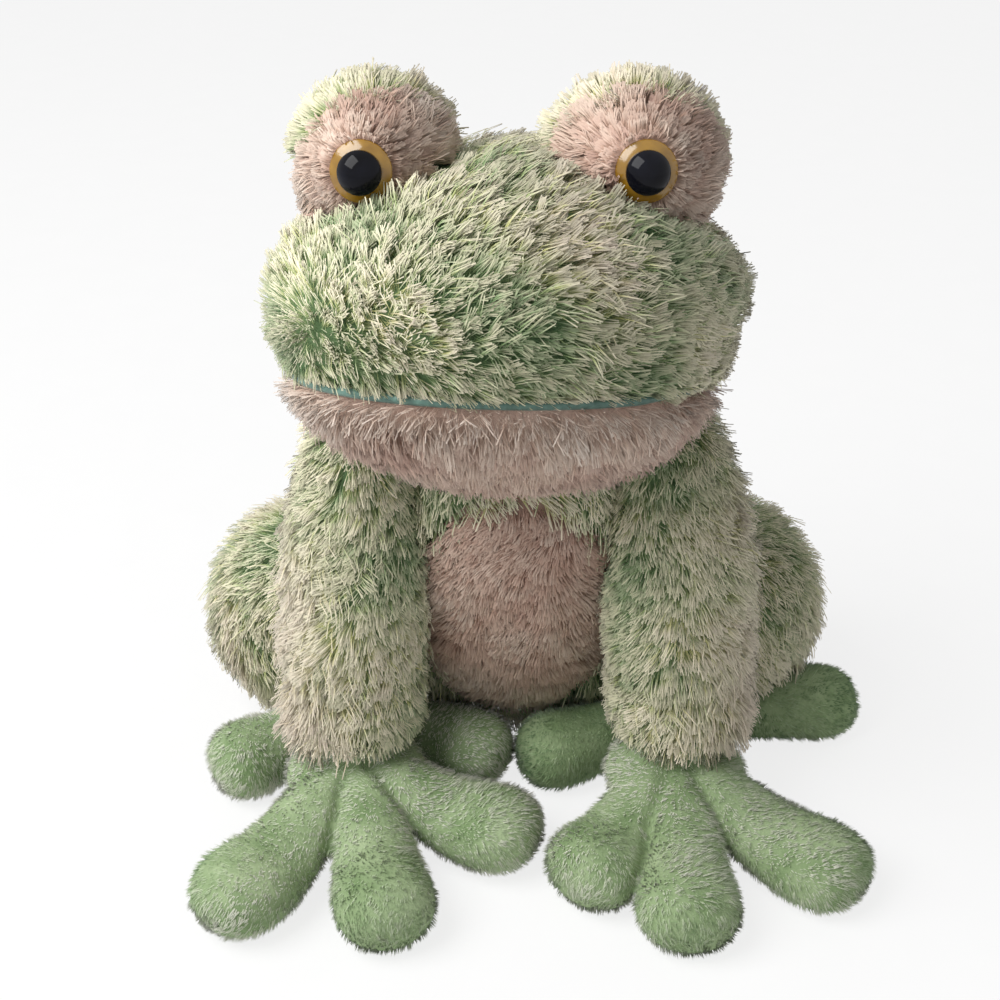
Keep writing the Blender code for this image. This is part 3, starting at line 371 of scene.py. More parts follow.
def pile_mesh(name, skin, count, seed, length, width, comb, tint, lift=38, turn=(35, 25, 12),
              wave=38, lock=5.0, clump=0.5, bend=0.45, fall=0.2, wanted=None, reach=None,
              stop=None, bent=True, cut=True):
    """Pile grown from a skin. A strand leaves the cloth at an angle of lift, towards where the
    comb lies there, turned by slow waves, by its lock and by itself, then bends down to lie
    along the cloth. Where the comb has no clear way, it stands up. Middles and tips draw in
    to the middle of their lock. A strand is three-sided, from a point at the root to a cut
    tip, with a ring at its knee where it is bent, or else a spike. Stop is a plane that few
    strands cross: a point, a normal and the least height over it."""
    chance = np.random.default_rng(seed)
    wanted = wanted or (lambda points: np.ones(len(points)))
    roots, outward = sown(skin, count, chance, wanted)
    warped = roots + lock * 0.9 * np.stack(
        [drift(roots, lock * 2.4, seed + at) for at in (1, 2, 3)], axis=-1)
    _, lock_of = np.unique(np.floor(warped / lock).astype(int), axis=0, return_inverse=True)
    lock_of = lock_of.ravel()
    members = np.bincount(lock_of)
    by_lock = chance.uniform(-1, 1, (len(members), 3))[lock_of]
    by_strand = chance.uniform(-1, 1, (count, 3))
    lie = comb(roots, outward)
    lie = lie - outward * (lie * outward).sum(axis=1, keepdims=True)
    calm = np.clip(np.linalg.norm(lie, axis=1) / 0.55, 0, 1)
    stray = np.cross(outward, by_strand)
    lie = unit(lie + stray * (0.15 + 1.2 * (1 - calm))[:, None])
    angle = np.radians(turn[0] * drift(roots, wave, seed + 4) * 1.5 + turn[1] * by_lock[:, 0]
                       + turn[2] * by_strand[:, 0])[:, None]
    lie = lie * np.cos(angle) + np.cross(outward, lie) * np.sin(angle)
    raised = lift(roots) if callable(lift) else lift
    raised = raised + (70 - raised) * (1 - calm)
    raised = np.radians(raised + 17 * by_lock[:, 1] + 7 * by_strand[:, 1])[:, None]
    size = length * (1 + 0.2 * by_lock[:, 2] + 0.16 * by_strand[:, 2])
    size = (size * (reach(roots) if reach else 1))[:, None]
    first = outward * np.sin(raised) + lie * np.cos(raised)
    second = unit(first * (1 - bend) + lie * bend - np.array([0, 0, fall]))
    middle = roots + first * size * STRAND_KNEE_SHARE
    tip = middle + second * size * (1 - STRAND_KNEE_SHARE)

    def drawn_in(spots, share):
        centres = np.stack([np.bincount(lock_of, spots[:, at]) for at in range(3)],
                           axis=-1) / members[:, None]
        return spots + (centres[lock_of] - spots) * share

    middle = drawn_in(middle, clump * 0.35)
    tip = drawn_in(tip, clump)
    if stop is not None:
        height_root, height_tip = ((spots - stop[0]) @ stop[1] for spots in (roots, tip))
        least = stop[2](roots) - 3.5 * np.clip(by_strand[:, 1] - 0.55, 0, 1) * 2.2
        short = np.where(height_tip < least, (height_root - least) / np.maximum(
            height_root - height_tip, 1e-3), 1)
        short = np.clip(short, 0.12, 1)[:, None]
        middle = roots + (middle - roots) * short
        tip = roots + (tip - roots) * short
    roots = roots - outward * PILE_SUNK
    along = unit(tip - roots)
    aside = unit(np.cross(along, outward) + 1e-6)
    under = np.cross(aside, along) * STRAND_THICKNESS_SHARE
    ring = np.radians(np.array([90, 210, 330]))
    spread = (aside[:, None] * np.cos(ring)[:, None] + under[:, None] * np.sin(ring)[:, None])
    spread = spread * (width / 2 * (1 + 0.25 * by_strand[:, 2]))[:, None, None]
    # Besides the real mottling, this value carries the painted shade and light that the tint
    # functions add
    dye_and_shading = np.clip(tint(roots) + 0.2 * by_lock[:, 2] + 0.06 * by_strand[:, 2], 0.03, 0.97)
    tints = dye_and_shading[:, None] + np.array([-TINT_SPREAD, 0, TINT_SPREAD])
    start = np.arange(count)[:, None]
    if bent:
        points = np.concatenate((roots[:, None], middle[:, None] + spread * 0.8,
                                 tip[:, None] + spread), axis=1)
        maps = np.stack((np.concatenate((dye_and_shading[:, None], tints, tints), axis=1),
                         np.broadcast_to((0.02,) + (STRAND_KNEE_SHARE,) * 3 + (0.98,) * 3,
                                         (count, 7))),
                        axis=-1)
        face_sets = [start[..., None] * 7 + np.array(((1, 2, 5, 4), (2, 3, 6, 5), (3, 1, 4, 6))),
                     start[..., None] * 7 + np.array(((0, 2, 1), (0, 3, 2), (0, 1, 3),
                                                      (4, 5, 6)))]
    elif cut:
        points = np.concatenate((roots[:, None], tip[:, None] + spread), axis=1)
        maps = np.stack((np.concatenate((dye_and_shading[:, None], tints), axis=1),
                         np.broadcast_to((0.02, 0.98, 0.98, 0.98), (count, 4))), axis=-1)
        face_sets = [start[..., None] * 4 + np.array(((0, 2, 1), (0, 3, 2), (0, 1, 3),
                                                      (1, 2, 3)))]
    else:
        points = np.concatenate((roots[:, None] + spread, tip[:, None]), axis=1)
        maps = np.stack((np.concatenate((tints, dye_and_shading[:, None]), axis=1),
                         np.broadcast_to((0.02, 0.02, 0.02, 0.98), (count, 4))), axis=-1)
        face_sets = [start[..., None] * 4 + np.array(((0, 2, 1), (0, 1, 3), (1, 2, 3),
                                                      (2, 0, 3)))]
    points[..., 2] = np.maximum(points[..., 2], FLOOR_CLEARANCE)
    facing = unit(outward + 0.3 * along + 0.3 * by_strand)
    round_it = unit(points - points.mean(axis=1, keepdims=True)) * 0.45
    facing = unit(facing[:, None] + round_it)
    return filled_mesh(name, points.reshape(-1, 3),
                       [faces.reshape(-1, faces.shape[-1]) for faces in face_sets],
                       maps.reshape(-1, 2), facing.reshape(-1, 3))


def add_pile(name, skin, material, body, slot, *shape, **more):
    """A pile grown from a skin, as a piece of its own. The rest is for the pile's mesh."""
    return add_piece(name, pile_mesh(name, skin, *shape, **more), material, body, slot)


def add_filling(node, body, slot, material):
    """A lump of filling: the frame's solid, merged, drawn in and rounded once, inside its
    skin."""
    mesh = bpy.data.objects[node].data.copy()
    shape = bmesh.new()
    shape.from_mesh(mesh)
    bmesh.ops.remove_doubles(shape, verts=shape.verts, dist=0.00001)
    shape.normal_update()
    for point in shape.verts:
        point.co -= point.normal * FILLING_ROOM * MM
    shape.to_mesh(mesh)
    shape.free()
    mesh.materials.clear()
    filling = add_piece(node + "_fibre", mesh, material, body, slot, node)
    round_off = filling.modifiers.new("round", "SUBSURF")
    round_off.levels = 1
    round_off.render_levels = 1


def torso_path(share):
    """Up from the seat and forward, hollow-backed by the bow."""
    share = np.asarray(share, float)
    lean = TORSO_LEAN * share + TORSO_BOW * 4 * share * (1 - share) * (share - 0.5)
    return np.stack((np.zeros_like(share), -lean, TORSO_HEIGHT * share - SEAT_DROP), axis=-1)


def belly_share(points):
    """How far points are from the middle of the belly's oval, 1 on its seam, seen from the
    front, and more behind the torso's middle."""
    share = np.hypot(points[:, 0] / BELLY_HALF_WIDTH,
                     (points[:, 2] - BELLY_MIDDLE_HEIGHT) / BELLY_HALF_HEIGHT)
    middle = torso_path(np.clip(points[:, 2] / TORSO_HEIGHT, 0, 1))[:, 1]
    return np.where(points[:, 1] < middle, share, 9)


# The greens of the frosted pile go from shaded to yellowish to the creamy ends of low fur; the
# dark root colour is painted shade
green_pile = pile_material(
    "Frosted polyester long pile, brushed, green",
    ((0.0, "#5C8455"), (0.28, "#8FAB74"), (0.5, "#B7C586"), (0.68, "#D2D188"),
     (0.84, "#D9CCA2"), (1.0, "#CFBDA2")),
    ((0.0, "#AFC195"), (0.3, "#E3E1BE"), (0.6, "#FBF3D6"), (1.0, "#FAEAD6")),
    "#486C49", 0.58, 0.12)
# Under it the knit is a darker, duller green than the pile, painted shade for what shows between
# the locks
green_backing = backing_material("Knitted pile backing, green", (
    (0.3, "#587650"), (0.55, "#7A966A"), (0.75, "#98AC80")), 16, 0.5)
# The belly's finer pile is a dusty pink with pale ends, softer and more even than the green, over
# a root colour of painted shade
pink_pile = pile_material(
    "Fine polyester pile, brushed, pinkish beige",
    ((0.0, "#A5796A"), (0.5, "#C59A86"), (1.0, "#D9B7A3")),
    ((0.0, "#CBA190"), (0.5, "#DFBCA9"), (1.0, "#F1DCCB")), "#8C6857", 0.62, 0.15)
# Its knit is a greyer, darker pink, painted shade at the roots
pink_backing = backing_material("Knitted pile backing, pinkish beige", (
    (0.3, "#97796C"), (0.7, "#BBA093")), 12, 0.5)
# Filling is an off-white cloud of fibre, and the bag's cloth a plain ecru weave
fibre = backing_material("Polyester fibre filling, carded", (
    (0.3, "#DEDED8"), (0.7, "#F2F2EE")), 8, 1.0)
bag_cloth = backing_material("Polyester bag cloth, woven", (
    (0.3, "#D5D1C4"), (0.7, "#E2DED2")), 20, 0.3)

torso_form = stuffed(torso_path, (TORSO_HALF_WIDTH, 0, 0), (0, TORSO_HALF_DEPTH, 0),
                     TORSO_ROUNDNESS, TORSO_WIDTH_SHARES, TORSO_DEPTH_SHARES)

# The head, the arms and the thighs are set against the torso, so their forms come here too
HEAD_CENTRE = (-4, -65, 208.5)
HEAD_PITCH = 22
HEAD_HALF_SIZES = (80.5, 68, 56.5)
HEAD_WIDTH_SHARES = (0.96, 1, 1, 1, 0.98)
ARM_TOP = (56.4, -44, 158)
ARM_BOTTOM = (61.4, -75, 35)
ARM_RADIUS = 23
ARM_SHARES = (0.84, 0.88, 0.98, 1, 1)
ARM_ROUNDNESS = 0.55
THIGH_CENTRE = (86.5, 0, 44)
THIGH_HALF_SIZES = (37, 42, 38)
THIGH_DEPTH_SHARES = (0.86, 1, 1.02, 0.98, 0.94)
THIGH_ROUNDNESS = 0.85

head_frame = np.array(Matrix.Translation(HEAD_CENTRE)
                      @ Matrix.Rotation(radians(-HEAD_PITCH), 4, "X"))


def placed(matrix, points):
    """Points taken from a piece's own frame to the frog's."""
    return points @ matrix[:3, :3].T + matrix[:3, 3]


def taken_back(matrix, points):
    """Points taken from the frog's frame to a piece's own."""
    return (points - matrix[:3, 3]) @ matrix[:3, :3]


def in_head(points, grow=0.0):
    """How far points are inside the head's egg, 0 on its skin."""
    halves = np.array(HEAD_HALF_SIZES) + grow
    return 1 - np.linalg.norm(taken_back(head_frame, points) / halves, axis=-1)


def out_of_head(points, gap):
    """Points inside the head's egg, moved straight out from its middle to its skin."""
    inside = in_head(points, gap)
    local = taken_back(head_frame, points)
    moved = placed(head_frame, local / np.maximum(1 - inside, 1e-3)[..., None])
    return np.where(inside[..., None] > 0, moved, points)


def egg(centre, halves, **more):
    """An upright egg about its centre."""
    centre = np.asarray(centre, float)
    rise = np.array([0, 0, halves[2]])
    return stuffed(straight(centre - rise, centre + rise), (halves[0], 0, 0),
                   (0, halves[1], 0), **more)


arm_forms, thigh_forms = {}, {}
for side, sign in (("left", 1), ("right", -1)):
    mirror = np.array([sign, 1, 1])
    arm_forms[side] = stuffed(straight(ARM_TOP * mirror, ARM_BOTTOM * mirror),
                              (ARM_RADIUS, 0, 0), (0, ARM_RADIUS, 0), ARM_ROUNDNESS,
                              ARM_SHARES, ARM_SHARES)
    thigh_forms[side] = egg(THIGH_CENTRE * mirror, THIGH_HALF_SIZES,
                            roundness=THIGH_ROUNDNESS, deep_shares=THIGH_DEPTH_SHARES)

polar = np.linspace(0, pi, 61)[:, None]
around = turns(96)
skin = on_form(torso_form, polar, around, -TORSO_PILE_ROOM)
skin = on_form(torso_form, polar, around, -TORSO_PILE_ROOM + 0.7 * drift(skin, 34, 5)
               - SEAM_GROOVE * near((belly_share(skin.reshape(-1, 3)).reshape(
                   skin.shape[:2]) - 1) * BELLY_HALF_HEIGHT, SEAM_GROOVE_SPREAD))
skin = out_of_head(skin, 1.0)
skin[..., 0] = np.clip(skin[..., 0], -HIP_SEAM_X, HIP_SEAM_X)
skin[..., 2] = np.maximum(skin[..., 2], FLOOR_CLEARANCE)
torso_skin = add_skin("torso_back_skin", closed_mesh("torso_back_skin", skin), green_backing,
                       "torso", "green_fur", "torso_back_panel")


def arm_inside(points):
    """How far points are inside either arm, 0 on its skin."""
    return np.maximum(*(depth_inside(form, points) for form in arm_forms.values()))


def back_wanted(points):
    """Green fur all over the torso but on the belly, the seat and under the other pieces."""
    covered = (in_head(points) > 0.02) | (arm_inside(points) > 0.3)
    for form in thigh_forms.values():
        covered |= depth_inside(form, points) > 0.08
    return np.where(covered | (belly_share(points) < 0.99) | (points[:, 2] < 3), 0, 1)


def back_reach(points):
    """Short where an arm presses on it."""
    return np.where(arm_inside(points) > -0.1, 0.4, 1.0)


def down_and_out(points, outward):
    """Fur that hangs down and a little outwards."""
    return np.array([0, -0.1, -1.0]) + 0.35 * outward * np.array([1, 1, 0])


def back_tint(points):
    """Mottled green, creamier towards the seat."""
    return 0.42 + 0.22 * drift(points, 22, 8) + 0.1 * np.clip((60 - points[:, 2]) / 60, 0, 1)


add_pile("torso_back_pile", torso_skin, green_pile, "torso", "green_fur", BACK_STRANDS, 21, 14,
         0.45, down_and_out, back_tint, lift=32, lock=4.2, clump=0.5, wanted=back_wanted,
         reach=back_reach)
# Painted shade: the underpile is dyed a little darker than the pile over it
add_pile("torso_back_underpile", torso_skin, green_pile, "torso", "green_fur", BACK_UNDERSTRANDS,
         22, 12, 0.46, down_and_out, lambda points: back_tint(points) - 0.06, lift=33,
         turn=(35, 30, 22), lock=3.4, clump=0.3, wanted=back_wanted, reach=back_reach, bent=False)


def torso_front(x, z, grow):
    """The front of the torso over a point of its upright plane: the ring at that height,
    read at that width."""
    share = np.clip((z + SEAT_DROP) / TORSO_HEIGHT, 0, 1)
    width, depth = half_sizes(torso_form, np.arccos(1 - 2 * share) / pi)
    middle = torso_path(share)[..., 1]
    off = np.clip(x / ((TORSO_HALF_WIDTH + grow) * width), -1, 1)
    return np.stack((x, middle - (TORSO_HALF_DEPTH + grow) * depth * np.sqrt(1 - off ** 2), z),
                    axis=-1)


out = np.concatenate((np.sin(np.linspace(0, pi / 2, 28)), np.linspace(1, 0, 8)))[:, None]
layer = np.concatenate((np.full(28, 0.5), np.full(8, -2.0)))[:, None]
layer = layer - np.where(layer > 0, BELLY_GROOVE * near(
    (1 - out) * BELLY_HALF_WIDTH, SEAM_GROOVE_SPREAD), 0)
turn = turns(72)
skin = torso_front(BELLY_HALF_WIDTH * out * np.cos(turn),
                   BELLY_MIDDLE_HEIGHT + BELLY_HALF_HEIGHT * out * np.sin(turn), layer)
skin = out_of_head(skin, 0.8)
belly_skin = add_skin("belly_skin", closed_mesh("belly_skin", skin), pink_backing, "torso",
                       "belly_fur", "belly_panel")


def belly_comb(points, outward):
    """Fine fur brushed down and outwards."""
    return points * np.array([0.7 / BELLY_HALF_WIDTH, 0, 0]) + np.array([0, 0, -1.0])


def belly_wanted(points):
    """Fur on the outer face of the belly panel, clear of the head and the arms."""
    front = torso_front(points[:, 0], points[:, 2], -1.2)[:, 1]
    covered = (in_head(points) > 0.03) | (arm_inside(points) > 0.05)
    return np.where((points[:, 1] < front) & ~covered, 1, 0)


add_pile("belly_pile", belly_skin, pink_pile, "torso", "belly_fur", BELLY_STRANDS, 31, 8, 0.42,
         belly_comb, lambda points: 0.5 + 0.2 * drift(points, 18, 9), lift=34, turn=(40, 22, 26),
         wave=22, lock=2.4, clump=0.2, wanted=belly_wanted, bent=False)
add_filling("torso_stuffing", "torso", "filling", fibre)
add_filling("seat_bean_bag", "torso", "bag_cloth", bag_cloth)

# Head: a wide egg of two fur panels, the green crown over the cream jaw, joined round the mouth
# with a strip of teal satin caught in the seam. The crown's fur is combed by use into waves.
MOUTH_DROP = 21
MOUTH_DIP = 4
MOUTH_TILT = 1.2
MOUTH_GROOVE = 1.2
HEAD_PILE_ROOM = 2.6
CROWN_TUCK = 0.065
JAW_TUCK = 0.05
CROWN_PARTING = (-74, 12)
CROWN_STRANDS = 7000
CROWN_MIDSTRANDS = 36000
CROWN_UNDERSTRANDS = 28000
JAW_STRANDS = 2500
JAW_UNDERSTRANDS = 27000

mouth_frame = head_frame @ np.array(
    Matrix.Translation((0, 0, -MOUTH_DROP)) @ Matrix.Rotation(radians(MOUTH_DIP), 4, "X")
    @ Matrix.Rotation(radians(MOUTH_TILT), 4, "Y"))
head_form = egg((0, 0, 0), HEAD_HALF_SIZES, wide_shares=HEAD_WIDTH_SHARES)


def over_mouth(points):
    """Height over the plane of the mouth's seam."""
    return (points - mouth_frame[:3, 3]) @ mouth_frame[:3, 2]


def seam_polar(turn):
    """The polar angle at which the head's egg meets the mouth's plane, found by halving."""
    low, high = np.full_like(turn, 0.2), np.full_like(turn, pi - 0.2)
    for _ in range(30):
        middle = (low + high) / 2
        over = over_mouth(placed(head_frame, on_form(head_form, middle, turn))) > 0
        high, low = np.where(over, middle, high), np.where(over, low, middle)
    return (low + high) / 2


def half_head(rise, steps, seed):
    """Half of the head: rings from its pole to the mouth's seam, where the fur is drawn in,
    then the turned lip, and a flat inside that closes it."""
    turn = turns(128)
    edge = seam_polar(turn)
    pole = pi if rise > 0 else 0.0
    share = np.sin(np.linspace(0, pi / 2, steps))[:, None]
    polar = pole + (edge - pole) * share
    local = on_form(head_form, polar, turn)
    height = np.abs(over_mouth(placed(head_frame, local)))
    grow = -HEAD_PILE_ROOM + 0.9 * drift(local, 42, seed) - MOUTH_GROOVE * near(height, 3.5)
    local = on_form(head_form, polar, turn, grow)
    if rise > 0:
        local[..., 0] *= 1 - CROWN_TUCK * near(height - 15, 13)
    else:
        local[..., 0] *= 1 - JAW_TUCK * near(height, 14)
    local = placed(head_frame, local)
    local = local + rise * 0.9 * mouth_frame[:3, 2] * near(height, 2)[..., None]
    centre = local[-1].mean(axis=0)
    inward = np.array([0.03, 0.12, 0.5, 1.0])[:, None, None]
    lip = local[-1][None] + (centre - local[-1][None]) * inward
    return np.concatenate((local, lip))


# Cream pile is a warm pinkish beige; its brushed ends are paler as a painted highlight, and its
# root colour is painted shade
cream_pile = pile_material(
    "Polyester long pile, brushed, cream",
    ((0.0, "#B8907E"), (0.35, "#CDA893"), (0.7, "#DCBEA9"), (1.0, "#EAD2C0")),
    ((0.0, "#CCA797"), (0.35, "#DCBDAB"), (0.7, "#ECD5C3"), (1.0, "#FAEBDD")),
    "#B08A78", 0.55, 0.15)
# Its knit is a shade darker, painted shade where the fur parts along the seams, and stays warm
cream_backing = backing_material("Knitted pile backing, cream", (
    (0.3, "#BFA090"), (0.7, "#D6BCAE")), 12, 0.5)

crown_skin = add_skin("crown_skin", closed_mesh("crown_skin", half_head(1, 56, 11)),
                       green_backing, "head", "green_fur", "head_crown_panel")
jaw_skin = add_skin("jaw_skin", closed_mesh("jaw_skin", half_head(-1, 30, 12)),
                     cream_backing, "head", "cream_fur", "jaw_panel")

MOUND_HALF_SIZES = (28.5, 26.5, 26.5)
MOUND_PLACE = (41.5, -17, 50)
MOUND_SPLAY = 5
MOUND_SEAM_TILT = 37
MOUND_SEAM_TURN = {"left": 2, "right": 26}
MOUND_SQUASH = {"left": 1.0, "right": 0.9}
LOOK_DOWN = 100
mound_frames = {side: head_frame @ np.array(
    Matrix.Translation((sign * MOUND_PLACE[0], *MOUND_PLACE[1:]))
    @ Matrix.Rotation(radians(sign * MOUND_SPLAY), 4, "Z"))
    for side, sign in (("left", 1), ("right", -1))}


def in_mound(points, grow=0.0):
    """How far points are inside either eye mound, 0 on its skin."""
    halves = np.array(MOUND_HALF_SIZES) + grow
    return np.maximum(*(1 - np.linalg.norm(taken_back(matrix, points) / halves, axis=-1)
                        for matrix in mound_frames.values()))


def crown_wanted(points):
    """Fur on the outside of the crown, but not under the eye mounds."""
    outside = in_head(points, -HEAD_PILE_ROOM - 10) < 0
    return np.where(outside & (over_mouth(points) > 0.6) & (in_mound(points) < 0.06), 1, 0)


def crown_comb(points, outward):
    """Fur brushed away from a place low on the frog's right brow, where it stands up: it lies
    across the brow to the frog's left, up at the top, and down and aside on the right."""
    across = (taken_back(head_frame, points)[:, :1] - CROWN_PARTING[0]) / 26
    up = (over_mouth(points)[:, None] - CROWN_PARTING[1]) / 26
    low = near(over_mouth(points)[:, None], 9)
    local = ((across + 0.3) * np.array([1.0, 0, 0]) + up * np.array([0.15, 0.5, 1.0])
             - low * np.array([0, 0, 0.8]))
    return (local / np.maximum(1, np.linalg.norm(local, axis=-1, keepdims=True))
            ) @ head_frame[:3, :3].T


def near_mound(points):
    """1 against an eye mound, falling to 0 some 10 mm off it."""
    return np.clip(1 + in_mound(points) * 3, 0, 1)


def at_side(points):
    """0 on the middle of the head, 1 at its sides."""
    return np.clip((np.abs(taken_back(head_frame, points)[:, 0]) - 46) / 24, 0, 1)


def crown_lift(points):
    """Lying down along the mouth, at the sides and against the eye mounds."""
    low = near(over_mouth(points), 12)
    return 34 - 12 * low - 18 * near_mound(points) - 12 * at_side(points)


def crown_reach(points):
    """Shorter along the mouth, at the sides and against the eye mounds."""
    low = near(over_mouth(points), 10)
    return 1 - 0.3 * low - 0.4 * near_mound(points) - 0.2 * at_side(points)


def crown_tint(points):
    """Mottled green with yellowish patches, with painted shade making it greyer and darker towards
    the mouth.
    """
    low = np.clip(1 - over_mouth(points) / 45, 0, 1)
    return 0.44 + 0.26 * drift(points, 20, 15) - 0.2 * low


def over_seam(points):
    """How far the crown's fur keeps over the seam: it bares the satin in front and hides the
    strip's ends."""
    across = taken_back(head_frame, points)[:, 0]
    aside = np.clip((across - 38) / 12, 0, 1) + np.clip((-across - 62) / 10, 0, 1)
    return 1.7 + 0.8 * drift(points, 12, 19) - 5 * aside


mouth_stop = (mouth_frame[:3, 3], mouth_frame[:3, 2], over_seam)
add_pile("crown_pile", crown_skin, green_pile, "head", "green_fur", CROWN_STRANDS, 41, 12.5, 0.4,
         crown_comb, crown_tint, lift=crown_lift, turn=(24, 32, 10), wave=30, lock=4.2, clump=0.66,
         wanted=crown_wanted, reach=crown_reach, stop=mouth_stop)
add_pile("crown_midpile", crown_skin, green_pile, "head", "green_fur", CROWN_MIDSTRANDS, 43, 11.8,
         0.36, crown_comb, crown_tint, lift=crown_lift, turn=(24, 32, 10), wave=30, lock=4.2,
         clump=0.62, wanted=crown_wanted, reach=crown_reach, stop=mouth_stop, bent=False)
# Painted shade: the underpile is dyed a little darker than the pile over it
add_pile("crown_underpile", crown_skin, green_pile, "head", "green_fur", CROWN_UNDERSTRANDS, 42,
         10.4, 0.42, crown_comb, lambda points: crown_tint(points) - 0.05,
         lift=lambda points: crown_lift(points) - 4, turn=(24, 32, 16), wave=30, lock=3.4,
         clump=0.45, wanted=crown_wanted, reach=crown_reach, stop=mouth_stop, bent=False)


def jaw_wanted(points):
    """Fur on the outside of the jaw, clear of the torso under it."""
    outside = in_head(points, -HEAD_PILE_ROOM - 3) < 0
    return np.where(outside & (over_mouth(points) < -0.6)
                    & (depth_inside(torso_form, points) < 0.1), 1, 0)


def jaw_comb(points, outward):
    """Fur that leans a little over the mouth along the seam, and falls from it lower down,
    swept a little to the frog's left."""
    low = np.clip(-over_mouth(points) / 9, 0, 1)[:, None]
    return (np.array([0.3, -0.25, 0.35]) + low * np.array([0, 0, -1.35])
            + 0.5 * outward * np.array([1, 0.4, 0]))


def jaw_lift(points):
    """Standing out along the mouth, lying down lower."""
    return 32 + 34 * near(over_mouth(points), 10)


def jaw_tint(points):
    """Painted light and shade: bright along the mouth, where the fur stands out, and darker
    towards the neck.
    """
    return 0.28 + 0.2 * drift(points, 16, 16) + 0.5 * near(over_mouth(points), 9)


jaw_stop = (mouth_frame[:3, 3], -mouth_frame[:3, 2], lambda points: 0.6)
add_pile("jaw_pile", jaw_skin, cream_pile, "head", "cream_fur", JAW_STRANDS, 51, 11, 0.4, jaw_comb,
         jaw_tint, lift=jaw_lift, turn=(24, 28, 12), wave=30, lock=3.6, clump=0.55,
         wanted=jaw_wanted, stop=jaw_stop)
# Painted shade: the underpile is dyed a little darker than the pile over it
add_pile("jaw_underpile", jaw_skin, cream_pile, "head", "cream_fur", JAW_UNDERSTRANDS, 52, 10, 0.4,
         jaw_comb, lambda points: jaw_tint(points) - 0.05, lift=jaw_lift, turn=(24, 28, 15),
         wave=30, lock=3.2, clump=0.4, wanted=jaw_wanted, stop=jaw_stop, bent=False)
add_filling("head_stuffing", "head", "filling", fibre)

# The satin strip is folded lengthwise and caught in the seam, so it stands proud as a thin roll
# from cheek to cheek. It is teal, smooth and softly glossy, with small cross puckers.
SATIN_HALF_HEIGHT = 1.6
SATIN_HALF_DEPTH = 1.5
SATIN_SEATED = 2.2
SATIN_PAST_CHEEK = 0.28
SATIN_TUCK = 0.03
SATIN_BARE = (-66, 42)
PUCKER = 2.6
satin = clouded_material("Polyester satin, folded, teal", 2.5,
                         ((0.3, "#4E7067"), (0.7, "#6F968A")),
                         {"Roughness": 0.38, "Sheen Weight": 0.2}, detail=3.0)

turn = np.linspace(-pi - SATIN_PAST_CHEEK, SATIN_PAST_CHEEK, 275)
local = on_form(head_form, seam_polar(turn), turn, -SATIN_SEATED) * (1 - SATIN_TUCK, 1, 1)
seam = placed(head_frame, local)
hidden = (np.clip((local[:, 0] - SATIN_BARE[1]) / 10, 0, 1)
          + np.clip((SATIN_BARE[0] - local[:, 0]) / 10, 0, 1))
ahead = unit(np.gradient(seam, axis=0))
upward = np.broadcast_to(mouth_frame[:3, 2], seam.shape)
outside = unit(np.cross(ahead, upward))
outside *= np.sign((outside * (seam - np.array(HEAD_CENTRE))).sum(axis=1, keepdims=True))
step = np.concatenate(([0], np.cumsum(np.linalg.norm(np.diff(seam, axis=0), axis=1))))
pucker = 1 + 0.10 * np.sin(step * 2 * pi / PUCKER + 2 * np.sin(step / 9))
ends = np.sqrt(np.clip(np.minimum(step, step[-1] - step) / 4, 0, 1)) * (1 - 0.55 * hidden)
ring = (np.arange(14) * 2 * pi / 14)
strip = (seam[:, None]
         + outside[:, None] * (SATIN_HALF_DEPTH * np.cos(ring)[:, None]
                               * (pucker * ends)[:, None, None])
         + upward[:, None] * (SATIN_HALF_HEIGHT * np.sin(ring)[:, None]
                              * ends[:, None, None]))
add_piece("mouth_satin", closed_mesh("mouth_satin", strip), satin, "head", "teal_satin",
          "mouth_satin_strip")

# Eye mounds: two round lumps sewn to the crown, a cream panel in front and a green one behind,
# each with a safety eye: a domed amber plate with a black dome on it, held by a washer behind
# the cloth. The cream fur fans out from the eye and is short at its rim.
IRIS_RADIUS = 9.75
IRIS_SEAT_RADIUS = 8.6
IRIS_SEAT = 24.64
IRIS_RIM = 1.2
IRIS_TOP = 29.24
PUPIL_RADIUS = 6.9
PUPIL_SEAT = 27.3
PUPIL_SHOULDER = 29.4
PUPIL_TOP = 33.1
MOUND_PILE_ROOM = 3.8
MOUND_RIM_ROOM = 0.8
MOUND_GROOVE = 1.2
FRONT_STRANDS = 1000
FRONT_UNDERSTRANDS = 14000
CAP_STRANDS = 800
CAP_UNDERSTRANDS = 12000


def mound_seam(side):
    """The seam's own frame in its mound: its top leans forward and its outer side too, so that
    the green cap shows over the cream and beside it."""
    turn = MOUND_SEAM_TURN[side] * (-1 if side == "left" else 1)
    return np.array(Matrix.Rotation(radians(turn), 4, "Z")
                    @ Matrix.Rotation(radians(MOUND_SEAM_TILT), 4, "X"))


